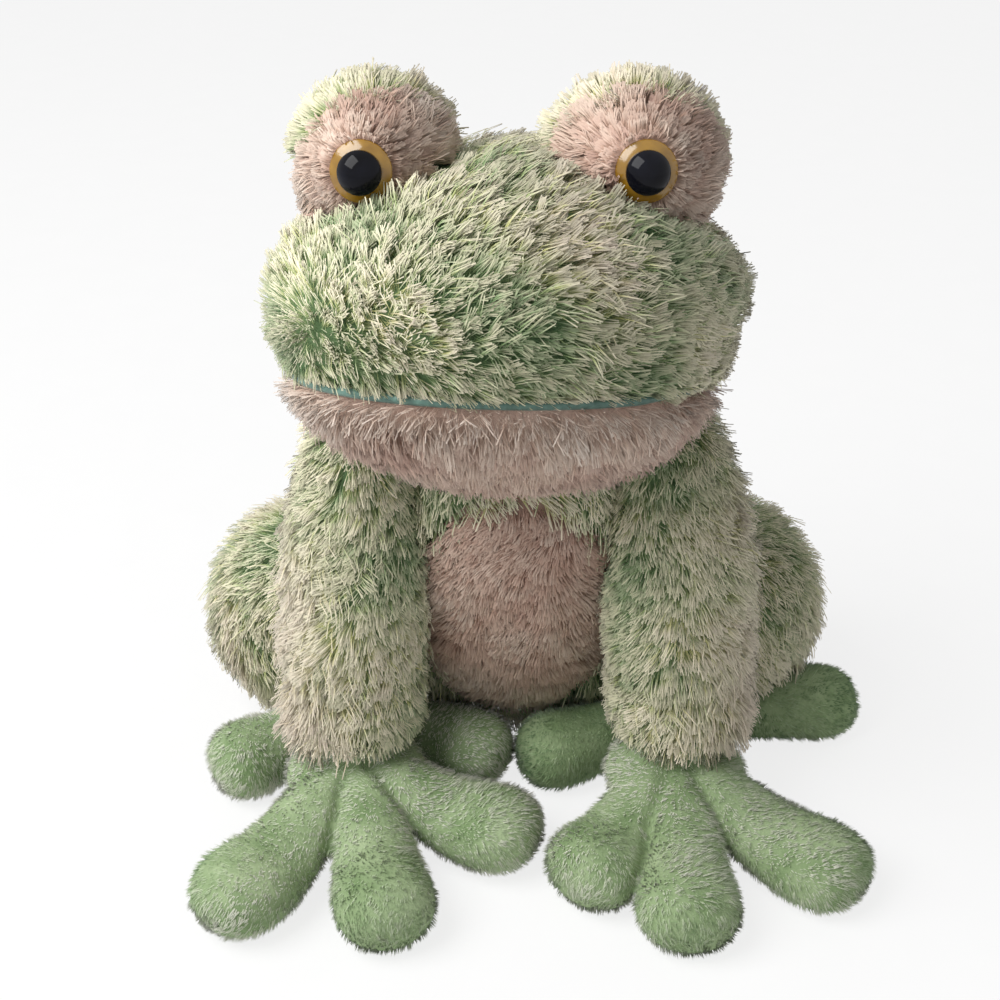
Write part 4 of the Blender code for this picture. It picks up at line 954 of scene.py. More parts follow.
def half_mound(side, front, seed):
    """Half of an eye mound: rings about the seam's own axis from the pole to the seam, drawn
    in there, then a flat inside that closes it."""
    tilt = mound_seam(side)
    turn = turns(72)
    polar = np.linspace(0, pi / 2, 26)[:, None]
    face = -1 if front else 1
    ways = np.stack(np.broadcast_arrays(np.sin(polar) * np.cos(turn), face * np.cos(polar),
                                        np.sin(polar) * np.sin(turn)), axis=-1)
    ways = ways @ tilt[:3, :3].T
    size = 1 / np.linalg.norm(ways / np.array(MOUND_HALF_SIZES), axis=-1)
    size = size - MOUND_GROOVE * near((pi / 2 - polar) * MOUND_HALF_SIZES[2], 3)
    axis = np.array(Matrix.Rotation(radians(LOOK_DOWN), 4, "X"))[:3, 2]
    local = ways * size[..., None]
    along = (local @ axis)[..., None]
    off = np.linalg.norm(local - along * axis, axis=-1) - IRIS_RADIUS
    off = np.where(along[..., 0] > 0, np.clip(off / 7, 0, 1), 1)
    size = size - MOUND_RIM_ROOM - (MOUND_PILE_ROOM - MOUND_RIM_ROOM) * off * off * (3 - 2 * off)
    local = ways * size[..., None] * (MOUND_SQUASH[side], 1, 1)
    centre = local[-1].mean(axis=0) + face * 0.2 * tilt[:3, 1]
    inward = np.array([0.04, 0.5, 1.0])[:, None, None]
    grid = np.concatenate((local, local[-1][None] + (centre - local[-1][None]) * inward))
    grid = placed(mound_frames[side], grid)
    grid = grid + unit(grid - mound_frames[side][:3, 3]) * (0.6 * drift(grid, 18, seed))[..., None]
    return out_of_head(grid, 0.3)


def turned(name, profile, matrix):
    """A round piece: a profile of radius and height turned about its frame's upright axis."""
    around = turns(64)
    radius, height = (profile[:, at][:, None] for at in (0, 1))
    grid = np.stack(np.broadcast_arrays(radius * np.cos(around), radius * np.sin(around),
                                        height), axis=-1)
    return closed_mesh(name, placed(matrix, grid))


def dome(radius, base, top, steps):
    """The rise of a round cap from its edge to its top: a part of a circle."""
    rise = top - base
    ball = (radius ** 2 + rise ** 2) / (2 * rise)
    out = radius * np.cos(np.linspace(0, pi / 2, steps))
    return np.stack((out, top - ball + np.sqrt(ball ** 2 - out ** 2)), axis=-1)


# Amber acrylic is a clear coat over a brown-gold body, so the plate has one crisp highlight
amber = clouded_material("Acrylic, moulded, amber", 5, ((0.3, "#8A6416"), (0.7, "#A67D22")),
                         {"Roughness": 0.16, "IOR": 1.49, "Coat Weight": 0.5,
                          "Coat Roughness": 0.06})
# Black acrylic is polished almost to a mirror, with a faint blue in it
black = clouded_material("Acrylic, moulded and polished, black", 6,
                         ((0.3, "#08080D"), (0.7, "#11121B")),
                         {"Roughness": 0.07, "IOR": 1.49, "Specular IOR Level": 0.14})
# Natural nylon is a milky white with a dull shine
nylon = clouded_material("Nylon, moulded, natural", 3, ((0.3, "#D8D8D2"), (0.7, "#E6E6E0")),
                         {"Roughness": 0.45})

for side, sign in (("left", 1), ("right", -1)):
    seed = 61 if sign > 0 else 71
    eye_frame = mound_frames[side] @ np.array(Matrix.Rotation(radians(LOOK_DOWN), 4, "X"))
    eye_middle = placed(eye_frame, np.array([0, 0, MOUND_HALF_SIZES[2]]))

    def rim_gap(points):
        """Distance from the eye's axis."""
        return np.linalg.norm(taken_back(eye_frame, points)[:, :2], axis=-1)

    def fan(points, outward):
        """Fur that fans out from the eye. Low on the inner side of the left eye it falls
        over the rim instead."""
        away = points - eye_middle
        local = taken_back(eye_frame, points)
        inner = unit(np.array([-1.0, -0.9])) @ local[:, :2].T / np.maximum(rim_gap(points), 1)
        over = (sign > 0) & (inner > 0.8) & (rim_gap(points) < IRIS_RADIUS + 3.5)
        return np.where(over[:, None], -away, away)

    def front_wanted(points):
        """Fur on the outside of the front panel, round the eye and clear of the head."""
        far = rim_gap(points) > IRIS_RADIUS - 0.8
        behind = taken_back(eye_frame, points)[:, 2] < 0
        outside = in_mound(points, -MOUND_PILE_ROOM - 2.6) < 0
        return np.where((far | behind) & outside & (in_head(points) < 0.03), 1, 0)

    def cap_wanted(points):
        """Fur on the outside of the back panel, clear of the head."""
        outside = in_mound(points, -MOUND_PILE_ROOM - 2.6) < 0
        return np.where(outside & (in_head(points) < 0.03), 1, 0)

    def rim_reach(points):
        """Short at the eye's rim, full from 10 mm out."""
        return np.clip(0.42 + 0.6 * (rim_gap(points) - IRIS_RADIUS) / 9, 0.42, 1)

    def rim_lift(points):
        """Upright at the eye's rim, lying down further out."""
        return 30 + 54 * np.clip(1 - (rim_gap(points) - IRIS_RADIUS) / 7, 0, 1)

    seam_axis = (mound_frames[side] @ mound_seam(side))[:3, 1]
    front_stop = (mound_frames[side][:3, 3], -seam_axis, lambda points: -1.5)

    def cap_lift(points):
        """Upright along the seam, so that the green shows over the cream."""
        behind = (points - mound_frames[side][:3, 3]) @ seam_axis
        return 36 + 22 * near(behind, 9)

    front_skin = add_skin(
        f"eye_mound_front_skin_{side}",
        closed_mesh(f"eye_mound_front_skin_{side}", half_mound(side, True, seed)),
        cream_backing, "head", "cream_fur", f"eye_mound_front_panel_{side}")
    cap_skin = add_skin(
        f"eye_mound_back_skin_{side}",
        closed_mesh(f"eye_mound_back_skin_{side}", half_mound(side, False, seed + 1)),
        green_backing, "head", "green_fur", f"eye_mound_back_panel_{side}")
    add_pile(f"eye_mound_front_pile_{side}", front_skin, cream_pile, "head", "cream_fur",
             FRONT_STRANDS, seed + 2, 10, 0.38, fan,
             lambda points: 0.5 + 0.2 * drift(points, 12, 17), lift=rim_lift, turn=(24, 24, 16),
             wave=22, lock=3.2, clump=0.5, fall=0.1, wanted=front_wanted, reach=rim_reach,
             stop=front_stop)
    # Painted shade: the underpile is dyed a little darker than the pile over it
    add_pile(f"eye_mound_front_underpile_{side}", front_skin, cream_pile, "head", "cream_fur",
             FRONT_UNDERSTRANDS, seed + 3, 8.5, 0.38, fan,
             lambda points: 0.42 + 0.2 * drift(points, 12, 17), lift=rim_lift, turn=(24, 24, 20),
             wave=22, lock=2.8, clump=0.38, fall=0.1, wanted=front_wanted, reach=rim_reach,
             stop=front_stop, bent=False)
    add_pile(f"eye_mound_back_pile_{side}", cap_skin, green_pile, "head", "green_fur", CAP_STRANDS,
             seed + 4, 10, 0.4, fan, lambda points: 0.5 + 0.2 * drift(points, 14, 18),
             lift=cap_lift, turn=(24, 22, 14), wave=24, lock=4.2, clump=0.55, wanted=cap_wanted)
    # Painted shade: the underpile is dyed a little darker than the pile over it
    add_pile(f"eye_mound_back_underpile_{side}", cap_skin, green_pile, "head", "green_fur",
             CAP_UNDERSTRANDS, seed + 5, 8.8, 0.4, fan,
             lambda points: 0.46 + 0.2 * drift(points, 14, 18), lift=cap_lift, turn=(24, 22, 16),
             wave=24, lock=3.0, clump=0.35, wanted=cap_wanted, bent=False)
    add_filling(f"eye_mound_stuffing_{side}", "head", "filling", fibre)

    profile = np.concatenate((
        [(0, IRIS_SEAT), (IRIS_SEAT_RADIUS, IRIS_SEAT), (IRIS_RADIUS - 0.3, IRIS_SEAT + 0.1),
         (IRIS_RADIUS, IRIS_SEAT + 0.5), (IRIS_RADIUS, IRIS_SEAT + IRIS_RIM - 0.2)],
        dome(IRIS_RADIUS - 0.15, IRIS_SEAT + IRIS_RIM + 0.1, IRIS_TOP, 16)))
    add_piece(f"eye_iris_plate_{side}", turned(f"eye_iris_plate_{side}", profile, eye_frame),
              amber, "head", "amber_plastic", f"eye_iris_{side}")
    profile = np.concatenate((
        [(0, PUPIL_SEAT), (PUPIL_RADIUS - 0.5, PUPIL_SEAT), (PUPIL_RADIUS, PUPIL_SEAT + 0.4),
         (PUPIL_RADIUS, PUPIL_SHOULDER - 0.4)],
        dome(PUPIL_RADIUS - 0.08, PUPIL_SHOULDER, PUPIL_TOP, 18)))
    add_piece(f"eye_pupil_dome_{side}", turned(f"eye_pupil_dome_{side}", profile, eye_frame),
              black, "head", "black_plastic", f"eye_pupil_{side}")
    for slot in bpy.data.objects[f"eye_washer_{side}"].material_slots:
        slot.material = nylon

# Arms: sleeves of green fur, stuffed and sewn to the shoulders, that hang open at the wrist over
# the foot. Their fur has painted shade on the inner side and fades to a creamy beige towards the
# hem.
WRIST = (61.4, -75, 40)
CUP_RADIUS = 20.8
HEM_HEIGHT = 46
HEM_RADIUS = 22.4
ARM_STRANDS = 3000
ARM_UNDERSTRANDS = 34000


def sleeve(side, sign):
    """An arm: rings from the shoulder down to the hem, then a cup round the ball of the wrist,
    whose top closes it. Where it meets the torso it is pressed out to the torso's side."""
    form = arm_forms[side]
    turn = turns(72)
    wrist = np.array(WRIST) * np.array([sign, 1, 1])
    hem = np.arccos(1 - 2 * (ARM_TOP[2] - HEM_HEIGHT) / (ARM_TOP[2] - ARM_BOTTOM[2]))
    polar = np.linspace(0, hem, 60)[:, None]
    outer = on_form(form, polar, turn)
    outer = on_form(form, polar, turn, 0.7 * drift(outer, 26, 80 + sign))
    centre = form["path"]((1 - np.cos(polar)) / 2)
    radius = np.linalg.norm(outer - centre, axis=-1, keepdims=True)
    full = np.clip((np.cos(polar) + 0.1) / -0.5, 0, 1)[..., None] * HEM_RADIUS
    outer = centre + (outer - centre) * np.maximum(1, full / np.maximum(radius, 1))
    flat = outer.reshape(-1, 3)
    share = np.clip((flat[:, 2] + SEAT_DROP) / TORSO_HEIGHT, 1e-3, 1 - 1e-3)
    width, depth = half_sizes(torso_form, np.arccos(1 - 2 * share) / pi)
    middle = torso_path(share)[:, 1]
    off = np.clip((flat[:, 1] - middle) / (TORSO_HALF_DEPTH * depth + 0.5), -1, 1)
    wall = (TORSO_HALF_WIDTH * width + 0.5) * np.sqrt(1 - off ** 2)
    wall = np.where(np.abs(off) < 1, wall, 0)
    flat[:, 0] = sign * np.maximum(sign * flat[:, 0], wall)
    outer = out_of_head(flat.reshape(outer.shape), 1.0)
    rise = np.radians(np.linspace(14, 90, 12))[:, None]
    cup = np.stack(np.broadcast_arrays(
        wrist[0] + CUP_RADIUS * np.cos(rise) * np.cos(turn),
        wrist[1] + CUP_RADIUS * np.cos(rise) * np.sin(turn),
        wrist[2] + CUP_RADIUS * np.sin(rise)), axis=-1)
    return np.concatenate((outer, cup))


for side, sign in (("left", 1), ("right", -1)):
    seed = 81 if sign > 0 else 91
    wrist = np.array(WRIST) * np.array([sign, 1, 1])

    def arm_wanted(points):
        """Fur on the outside of the sleeve, clear of the torso, the head and the cup."""
        in_cup = np.linalg.norm(points - wrist, axis=1) < CUP_RADIUS + 0.8
        covered = (depth_inside(torso_form, points) > -0.01) | (in_head(points) > 0.02)
        return np.where(covered | (in_cup & (points[:, 2] > HEM_HEIGHT + 1)), 0, 1)

    def arm_comb(points, outward):
        """Fur that hangs down, a little outwards."""
        return np.array([0.15 * sign, -0.2, -1.0]) + 0.3 * outward * np.array([1, 1, 0])

    def inner_side(points):
        """1 on the side of the torso, -1 on the outer side."""
        return np.clip(-sign * (points[:, 0] - wrist[0]) / ARM_RADIUS, -1, 1)

    def arm_tint(points):
        """Mottled green, with painted shade on the side of the torso, creamy near the hem."""
        low = np.clip((118 - points[:, 2]) / 70, 0, 1)
        inner = inner_side(points)
        return (0.4 + 0.2 * drift(points, 20, seed + 9) + 0.3 * low * (1 - 0.5 * inner)
                - 0.16 * inner)

    def arm_reach(points):
        """Shorter on the side of the torso, where it is pressed."""
        return 1.05 - 0.3 * inner_side(points)

    arm_skin = add_skin(f"arm_sleeve_skin_{side}",
                         closed_mesh(f"arm_sleeve_skin_{side}", sleeve(side, sign)),
                         green_backing, f"arm_{side}", "green_fur", f"arm_sleeve_{side}")
    add_pile(f"arm_pile_{side}", arm_skin, green_pile, f"arm_{side}", "green_fur", ARM_STRANDS,
             seed, 11, 0.38, arm_comb, arm_tint, lift=40, turn=(34, 30, 18), wave=26, lock=3.4,
             clump=0.5, wanted=arm_wanted, reach=arm_reach)
    # Painted shade: the underpile is dyed a little darker than the pile over it
    add_pile(f"arm_underpile_{side}", arm_skin, green_pile, f"arm_{side}", "green_fur",
             ARM_UNDERSTRANDS, seed + 1, 10, 0.38, arm_comb,
             lambda points: arm_tint(points) - 0.05, lift=36, turn=(34, 30, 24), wave=26, lock=3.0,
             clump=0.3, wanted=arm_wanted, reach=arm_reach, bent=False)
    add_filling(f"arm_stuffing_{side}", f"arm_{side}", "filling", fibre)

# Forefeet: flat paws of mint minky, a short dense pile, with three long round-ended toes that
# splay over the floor. The toes are sewn into the palm with pinched creases at their roots.
PALM_CENTRE = (61.4, -87, 26)
PALM_HALF_SIZES = (27, 24, 10)
WRIST_RADIUS = 20
FORE_TOE_HALF_WIDTH = 18.5
FORE_TOE_HALF_THICKNESS = 14.5
FORE_TOE_LENGTH = 81
FORE_TOE_TURNS = {"right": (36, -14, -70), "left": (53, 0, -40)}
FORE_TOE_SHARES = {"right": (1.0, 0.93, 0.91), "left": (1.0, 0.93, 0.80)}
TOE_SHARES = (0.8, 0.8, 0.84, 1.12, 1.1)
TOE_ROUNDNESS = 0.6
TOE_DROP_SHARE = 0.62
TOE_ROOT_SHARE = 0.06
VOXEL = 1.3
CREASE_SPREAD = 2.2
FORE_PINCH = 2.2
SOLE_CLEAR = 1.0
MINT_PILE_LENGTH = 3.0
MINT_PILE_WIDTH = 0.7
FORE_PILE = 22000
HIND_PILE = 13500


def toe(root, sign, turn, length, half_width, half_thickness):
    """A toe runs out from its palm, comes down to the floor by a smooth step and ends in a
    round bulb."""
    along = np.array([sign * sin(radians(turn)), -cos(radians(turn)), 0])
    sole = half_thickness - 0.5
    root = np.array(root) + along * length * TOE_ROOT_SHARE
    length = length * (1 - TOE_ROOT_SHARE)

    def path(share):
        share = np.asarray(share, float)
        fall = np.clip(share / TOE_DROP_SHARE, 0, 1)
        fall = fall * fall * (3 - 2 * fall)
        height = root[2] + (sole - root[2]) * fall
        return (np.array([root[0], root[1], 0]) + along * length * share[..., None]
                + np.array([0, 0, 1]) * height[..., None])

    aside = np.cross(along, (0, 0, 1)) * half_width
    return stuffed(path, aside, (0, 0, half_thickness), TOE_ROUNDNESS, TOE_SHARES, TOE_SHARES)


def form_grid(form, rows=41, columns=40):
    """A form's skin as rows of points."""
    return on_form(form, np.linspace(0, pi, rows)[:, None], turns(columns))


def joined_skin(name, forms):
    """One skin round forms that run into each other: their volume drawn as small cells and
    smoothed, so that the toes run into the palm as sewn cloth does."""
    pieces = [closed_mesh(name, form_grid(form)) for form in forms]
    shape = bmesh.new()
    for mesh in pieces:
        shape.from_mesh(mesh)
        bpy.data.meshes.remove(mesh)
    mesh = bpy.data.meshes.new(name)
    shape.to_mesh(mesh)
    shape.free()
    lump = in_scene(name, mesh)
    cells = lump.modifiers.new("cells", "REMESH")
    cells.mode = "VOXEL"
    cells.voxel_size = VOXEL * MM
    smooth = lump.modifiers.new("smooth", "SMOOTH")
    smooth.factor = 0.5
    smooth.iterations = 7
    ready = bpy.data.meshes.new_from_object(
        lump.evaluated_get(bpy.context.evaluated_depsgraph_get()))
    bpy.data.objects.remove(lump)
    bpy.data.meshes.remove(mesh)
    ready.name = name
    ready.shade_smooth()
    return ready


def rings_about(form, points, gap=0.0):
    """For the rings along a form: their middles, their half widths and half depths, the points'
    offsets from them, and the share of each ring's size at which a point lies."""
    place = np.linspace(END_SHARE, 1 - END_SHARE, RINGS_ALONG)
    width, depth = half_sizes(form, place)
    centre = form["path"]((1 - np.cos(pi * place)) / 2)
    across = np.linalg.norm(form["wide"]) * width + gap
    through = np.linalg.norm(form["deep"]) * depth + gap
    off = points[:, None] - centre[None]
    size = np.sqrt((np.hypot(off[..., 0], off[..., 1]) / across) ** 2
                   + (off[..., 2] / through) ** 2)
    return centre, across, through, off, size


def near_path(form, points):
    """Distance from a form's skin, less inside it, by the nearest of its rings."""
    _, across, through, _, size = rings_about(form, points)
    return ((size - 1) * (across + through) / 2).min(axis=1)


def crease(forms, points):
    """How near points are to the line where two forms meet, 1 on it."""
    gaps = np.sort(np.stack([near_path(form, points) for form in forms], axis=-1), axis=-1)
    return near(gaps[:, 1] - gaps[:, 0], CREASE_SPREAD) * (gaps[:, 1] < 5)


def pinched(mesh, forms, depth):
    """Draws a skin in along the lines where its forms meet, and sets it on the floor."""
    points, normals = mesh_points(mesh)
    points = points - normals * (depth * crease(forms, points))[:, None]
    points = points + normals * (0.5 * drift(points, 24, 97))[:, None]
    points[:, 2] = np.maximum(points[:, 2], FLOOR_CLEARANCE)
    set_points(mesh, points)
    return mesh


# Sheared pile is matt and even, with a pale bloom on its ends; its darker greens serve as painted
# shade in the hollows, and its root colour is painted shade
mint_pile = pile_material(
    "Minky, short polyester pile, sheared, mint",
    ((0.0, "#56754A"), (0.35, "#9DB985"), (0.7, "#C6D2B1"), (1.0, "#DCDECB")),
    ((0.0, "#86A373"), (0.35, "#BED0A5"), (0.7, "#DEE4CD"), (1.0, "#EEEEE2")),
    "#6B875A", 0.7, 0.2)
# Its knit is a flat grey-green, seen where the pile is pressed
mint_backing = backing_material("Minky backing, knitted, mint", (
    (0.3, "#778F62"), (0.7, "#AABC93")), 18, 0.4)

# Both pairs of feet have the same short pile, of spikes that lie in small locks
minky_look = {"lift": 38, "turn": (40, 20, 25), "wave": 26, "lock": 2.6, "clump": 0.25,
              "fall": 0.05, "bent": False, "cut": False}

fore_forms = {}
for side, sign in (("left", 1), ("right", -1)):
    seed = 101 if sign > 0 else 111
    mirror = np.array([sign, 1, 1])
    palm_centre = np.array(PALM_CENTRE) * mirror
    wrist = np.array(WRIST) * mirror
    toes = [toe(palm_centre, sign, turn, FORE_TOE_LENGTH * share, FORE_TOE_HALF_WIDTH,
                FORE_TOE_HALF_THICKNESS)
            for turn, share in zip(FORE_TOE_TURNS[side], FORE_TOE_SHARES[side])]
    palm = egg(palm_centre, PALM_HALF_SIZES)
    ball = egg(wrist, (WRIST_RADIUS,) * 3)
    fore_forms[side] = [*toes, palm]
    skin_mesh = joined_skin(f"forefoot_minky_{side}", [*toes, palm, ball])
    foot_skin = add_skin(f"forefoot_minky_{side}", pinched(skin_mesh, toes, FORE_PINCH),
                          mint_backing, f"forefoot_{side}", "mint_minky",
                          f"forefoot_skin_{side}")

    def fore_wanted(points):
        """Pile all over the foot but its sole and what the sleeve holds."""
        held = (points[:, 2] > HEM_HEIGHT + 4) & (np.linalg.norm(points - wrist, axis=1)
                                                  < WRIST_RADIUS + 2)
        return np.where(held | (points[:, 2] < SOLE_CLEAR), 0, 1)

    def fore_comb(points, outward):
        """Pile brushed from the wrist to the toes' ends."""
        return (points - wrist) * np.array([1, 1, 0]) + np.array([0, 0, -4])

    def fore_tint(points):
        """Mint, greener further out along the toes, with painted shade in the creases at their
        roots.
        """
        out = np.linalg.norm((points - wrist)[:, :2], axis=1)
        return (0.74 + 0.3 * drift(points, 30, seed + 5) - 0.4 * np.clip(out / 60 - 0.7, -1, 1)
                - 0.35 * crease(toes, points))

    add_pile(f"forefoot_pile_{side}", foot_skin, mint_pile, f"forefoot_{side}", "mint_minky",
             FORE_PILE, seed, MINT_PILE_LENGTH, MINT_PILE_WIDTH, fore_comb,
             fore_tint, wanted=fore_wanted, **minky_look)
    add_filling(f"forefoot_stuffing_{side}", f"forefoot_{side}", "filling", fibre)

# Thighs: round cushions of green fur sewn flat against the hips, creamier towards the floor
THIGH_SEAM_X = 52.65
THIGH_FOOT_GAP = 2.2
THIGH_STRANDS = 2500
THIGH_UNDERSTRANDS = 24000
HIND_PALM_CENTRE = (67.5, -38, 10.5)
HIND_PALM_HALF_SIZES = (20, 20, 11)
ANKLE = (71.5, -33, 22)
ANKLE_RADIUS = 12
HIND_TOE_HALF_WIDTH = 16
HIND_TOE_HALF_THICKNESS = 15
PRESSED_HALF_THICKNESS = 5.5
HIND_TOE_LENGTH = 75
HIND_TOE_TURNS = {"right": (53, -10, -66), "left": (96, -4, -65)}
HIND_TOE_SHARES = {"right": (0.84, 0.9, 0.94), "left": (0.99, 0.9, 0.96)}


def pressed_out(points, forms, gap):
    """Points inside any of the forms, moved out from the nearest ring's middle to its skin."""
    for form in forms:
        centre, _, _, off, size = rings_about(form, points, gap)
        nearest = size.argmin(axis=1)
        rows = np.arange(len(points))
        least = size[rows, nearest]
        moved = centre[nearest] + off[rows, nearest] / np.maximum(least, 0.05)[:, None]
        points = np.where(least[:, None] < 1, moved, points)
    return points


hind_forms = {}
for side, sign in (("left", 1), ("right", -1)):
    mirror = np.array([sign, 1, 1])
    palm_centre = np.array(HIND_PALM_CENTRE) * mirror
    hind_forms[side] = []
    for index, (turn, share) in enumerate(zip(HIND_TOE_TURNS[side], HIND_TOE_SHARES[side])):
        thick = PRESSED_HALF_THICKNESS if index == 1 else HIND_TOE_HALF_THICKNESS
        root = (palm_centre[0], palm_centre[1], thick - 0.5)
        hind_forms[side].append(toe(root, sign, turn, HIND_TOE_LENGTH * share,
                                    HIND_TOE_HALF_WIDTH, thick))
    hind_forms[side].append(egg(palm_centre, HIND_PALM_HALF_SIZES))

for side, sign in (("left", 1), ("right", -1)):
    seed = 121 if sign > 0 else 131
    form = thigh_forms[side]
    polar, around = np.linspace(0, pi, 61)[:, None], turns(96)
    skin = on_form(form, polar, around)
    skin = on_form(form, polar, around, 0.8 * drift(skin, 30, seed))
    skin[..., 0] = sign * np.maximum(sign * skin[..., 0], THIGH_SEAM_X)
    skin = pressed_out(skin.reshape(-1, 3), hind_forms[side], THIGH_FOOT_GAP).reshape(skin.shape)
    skin[..., 2] = np.maximum(skin[..., 2], FLOOR_CLEARANCE)
    thigh_skin = add_skin(f"thigh_skin_{side}", closed_mesh(f"thigh_skin_{side}", skin),
                           green_backing, f"thigh_{side}", "green_fur", f"thigh_panel_{side}")

    def thigh_wanted(points):
        """Fur on the outside of the thigh, clear of the torso, the foot and the floor."""
        on_seam = sign * points[:, 0] < THIGH_SEAM_X + 0.5
        on_foot = np.min([near_path(form, points) for form in hind_forms[side]], axis=0) < 1.5
        return np.where(on_seam | on_foot | (points[:, 2] < 2), 0, 1)

    def thigh_comb(points, outward):
        """Fur that hangs down and forward."""
        return np.array([0.1 * sign, -0.35, -1.0]) + 0.3 * outward * np.array([1, 1, 0])

    def thigh_tint(points):
        """Mottled green, creamier low down."""
        low = np.clip((60 - points[:, 2]) / 60, 0, 1)
        return 0.42 + 0.24 * drift(points, 20, seed + 9) + 0.28 * low

    add_pile(f"thigh_pile_{side}", thigh_skin, green_pile, f"thigh_{side}", "green_fur",
             THIGH_STRANDS, seed + 1, 11.5, 0.42, thigh_comb, thigh_tint, lift=38,
             turn=(36, 30, 18), wave=26, lock=3.4, clump=0.5, wanted=thigh_wanted)
    # Painted shade: the underpile is dyed a little darker than the pile over it
    add_pile(f"thigh_underpile_{side}", thigh_skin, green_pile, f"thigh_{side}", "green_fur",
             THIGH_UNDERSTRANDS, seed + 2, 10.6, 0.4, thigh_comb,
             lambda points: thigh_tint(points) - 0.05, lift=33, turn=(36, 30, 24), wave=26,
             lock=3.0, clump=0.3, wanted=thigh_wanted, bent=False)
    add_filling(f"thigh_stuffing_{side}", f"thigh_{side}", "filling", fibre)

# Hind feet: the same minky paws, smaller, that come out from under the thighs. The middle toe
# is pressed flat under the forefoot.
HIND_PINCH = 2.0
FEET_GAP = 0.8

for side, sign in (("left", 1), ("right", -1)):
    seed = 141 if sign > 0 else 151
    mirror = np.array([sign, 1, 1])
    ankle = np.array(ANKLE) * mirror
    ball = egg(ankle, (ANKLE_RADIUS,) * 3)
    mesh = joined_skin(f"hindfoot_minky_{side}", [*hind_forms[side], ball])
    points, _ = mesh_points(mesh)
    points = pressed_out(points, fore_forms[side], FEET_GAP)
    set_points(mesh, points)
    foot_skin = add_skin(f"hindfoot_minky_{side}",
                          pinched(mesh, hind_forms[side][:3], HIND_PINCH), mint_backing,
                          f"hindfoot_{side}", "mint_minky", f"hindfoot_skin_{side}")

    def hind_wanted(points):
        """Pile all over the foot but its sole and what the thigh holds."""
        held = depth_inside(thigh_forms[side], points) > 0.06
        pressed = np.min([near_path(form, points) for form in fore_forms[side]], axis=0) < 0.9
        return np.where(held | pressed | (points[:, 2] < SOLE_CLEAR), 0, 1)

    def hind_comb(points, outward):
        """Pile brushed from the ankle to the toes' ends."""
        return (points - ankle) * np.array([1, 1, 0]) + np.array([0, 0, -4])

    def hind_tint(points):
        """Mint, greener near the thigh, with painted shade in the creases between the toes and
        over the whole left foot, which is darker than the right.
        """
        out = np.linalg.norm((points - ankle)[:, :2], axis=1)
        # Painted shade: the left foot's value is lowered well below the right's
        return (0.45 - 0.4 * sign + 0.2 * drift(points, 26, seed + 5)
                + 0.1 * np.clip(out / 50 - 0.6, -1, 1)
                - 0.4 * crease(hind_forms[side][:3], points))

    add_pile(f"hindfoot_pile_{side}", foot_skin, mint_pile, f"hindfoot_{side}", "mint_minky",
             HIND_PILE, seed, MINT_PILE_LENGTH, MINT_PILE_WIDTH, hind_comb,
             hind_tint, wanted=hind_wanted, **minky_look)
    add_filling(f"hindfoot_stuffing_{side}", f"hindfoot_{side}", "filling", fibre)

# Studio: a plain white floor and surround, a large soft lamp above the front on the frog's
# right, and the camera above the frog looking down at it.
FLOOR_HALF = 3000
PAPER_GRAIN = 25
PAPER_GLOW = 0.8
CAMERA_TARGET = (-1.5, -50, 125)
CAMERA_DISTANCE = 600
CAMERA_ELEVATION = 32
CAMERA_LENS = 58.14
CAMERA_SHIFT = -0.012
SOFT_LEVEL = 0.36
KEY_PLACE = (-0.72, -0.42, 1.1)
KEY_TARGET = (0, -0.05, 0.12)
KEY_WIDTH = 0.9
KEY_POWER = 17.0


def seen_by_camera(owner):
    """1 for the rays that the camera follows: straight, mirrored or through something clear."""
    rays = add_node(owner, "ShaderNodeLightPath")
    seen = add_node(owner, "ShaderNodeMath", {"operation": "MAXIMUM"},
                    {0: rays.outputs["Is Camera Ray"], 1: rays.outputs["Is Glossy Ray"]})
    return add_node(owner, "ShaderNodeMath", {"operation": "MAXIMUM"},
                    {0: seen.outputs[0], 1: rays.outputs["Is Transmission Ray"]}).outputs[0]


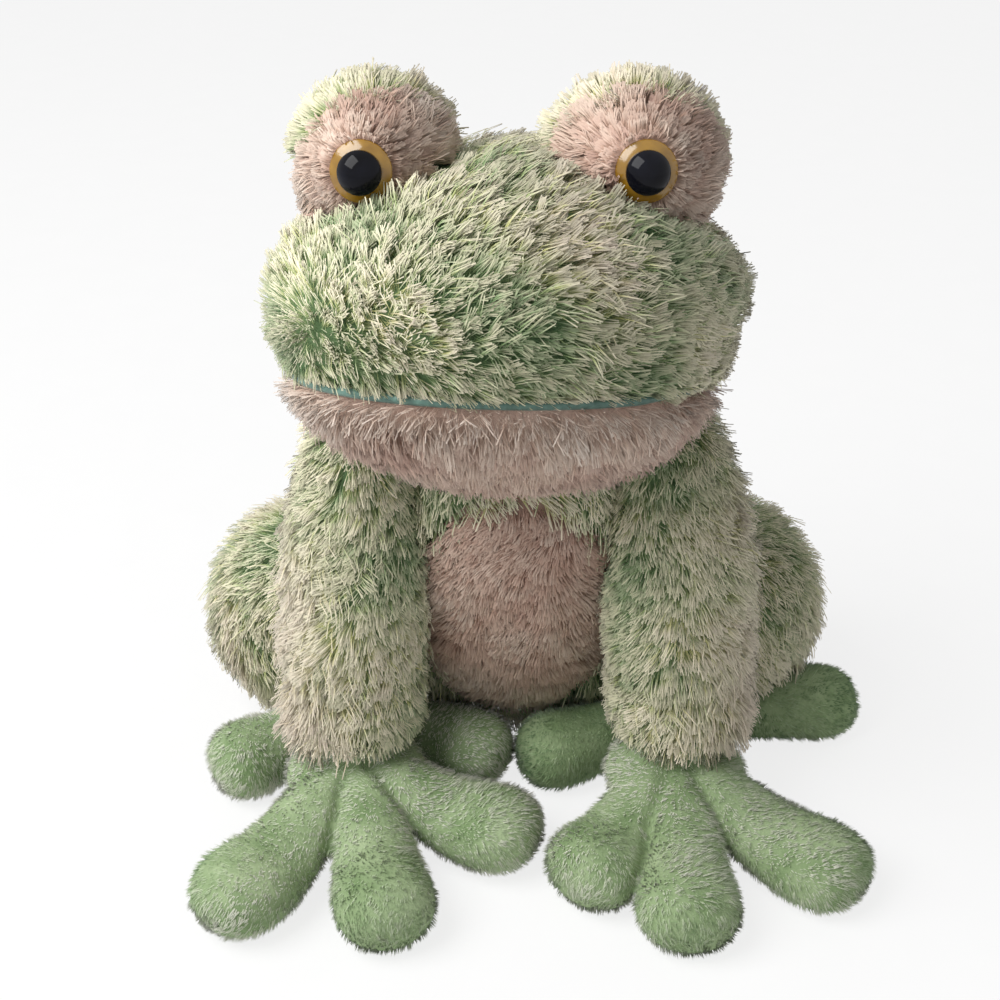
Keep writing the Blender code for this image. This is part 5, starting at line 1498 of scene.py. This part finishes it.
# Paper is a matt white whose grain is too faint to see. To the camera it is mostly glow, so
# that it stays white round the frog and the shadow on it is soft and faint.
paper = clouded_material("Photographic paper sweep, matt, white", PAPER_GRAIN,
                         ((0.3, "#F7F7F7"), (0.7, "#FBFBFB")), {"Roughness": 0.95})
share = add_node(paper, "ShaderNodeMath", {"operation": "MULTIPLY"},
                 {0: seen_by_camera(paper), 1: PAPER_GLOW})
glow = add_node(paper, "ShaderNodeEmission", None, {0: (1, 1, 1, 1), 1: 1.0})
both = add_node(paper, "ShaderNodeMixShader", None,
                {0: share.outputs[0],
                 1: paper.node_tree.nodes["Principled BSDF"].outputs[0], 2: glow.outputs[0]})
paper.node_tree.links.new(both.outputs[0],
                          paper.node_tree.nodes["Material Output"].inputs["Surface"])

corners = np.array([(-1, -1, 0), (1, -1, 0), (1, 1, 0), (-1, 1, 0)]) * FLOOR_HALF * MM
floor_mesh = bpy.data.meshes.new("floor")
floor_mesh.from_pydata(corners.tolist(), [], [(0, 1, 2, 3)])
floor_mesh.materials.append(paper)
floor = in_scene("floor", floor_mesh)

world = bpy.data.worlds.new("studio")
bpy.context.scene.world = world
world.use_nodes = True
level = add_node(world, "ShaderNodeMapRange", None,
                 {0: seen_by_camera(world), 3: SOFT_LEVEL, 4: 1.0})
world.node_tree.nodes["Background"].inputs["Color"].default_value = (1, 1, 1, 1)
world.node_tree.links.new(level.outputs[0],
                          world.node_tree.nodes["Background"].inputs["Strength"])

lamp = bpy.data.lights.new("soft_key", "AREA")
lamp.size = KEY_WIDTH
lamp.energy = KEY_POWER
stand = in_scene("soft_key", lamp)
aim = Vector(KEY_TARGET) - Vector(KEY_PLACE)
stand.matrix_world = (Matrix.Translation(KEY_PLACE)
                      @ aim.to_track_quat("-Z", "Y").to_matrix().to_4x4())

pitch = radians(CAMERA_ELEVATION)
lens = bpy.data.cameras.new("camera")
lens.lens = CAMERA_LENS
lens.shift_x = CAMERA_SHIFT
camera = in_scene("camera", lens)
camera.matrix_world = (Matrix.Translation([part * MM for part in CAMERA_TARGET])
                       @ Matrix.Rotation(pi / 2 - pitch, 4, "X")
                       @ Matrix.Translation((0, 0, CAMERA_DISTANCE * MM)))
bpy.context.scene.camera = camera
bpy.context.scene.view_settings.view_transform = "Standard"
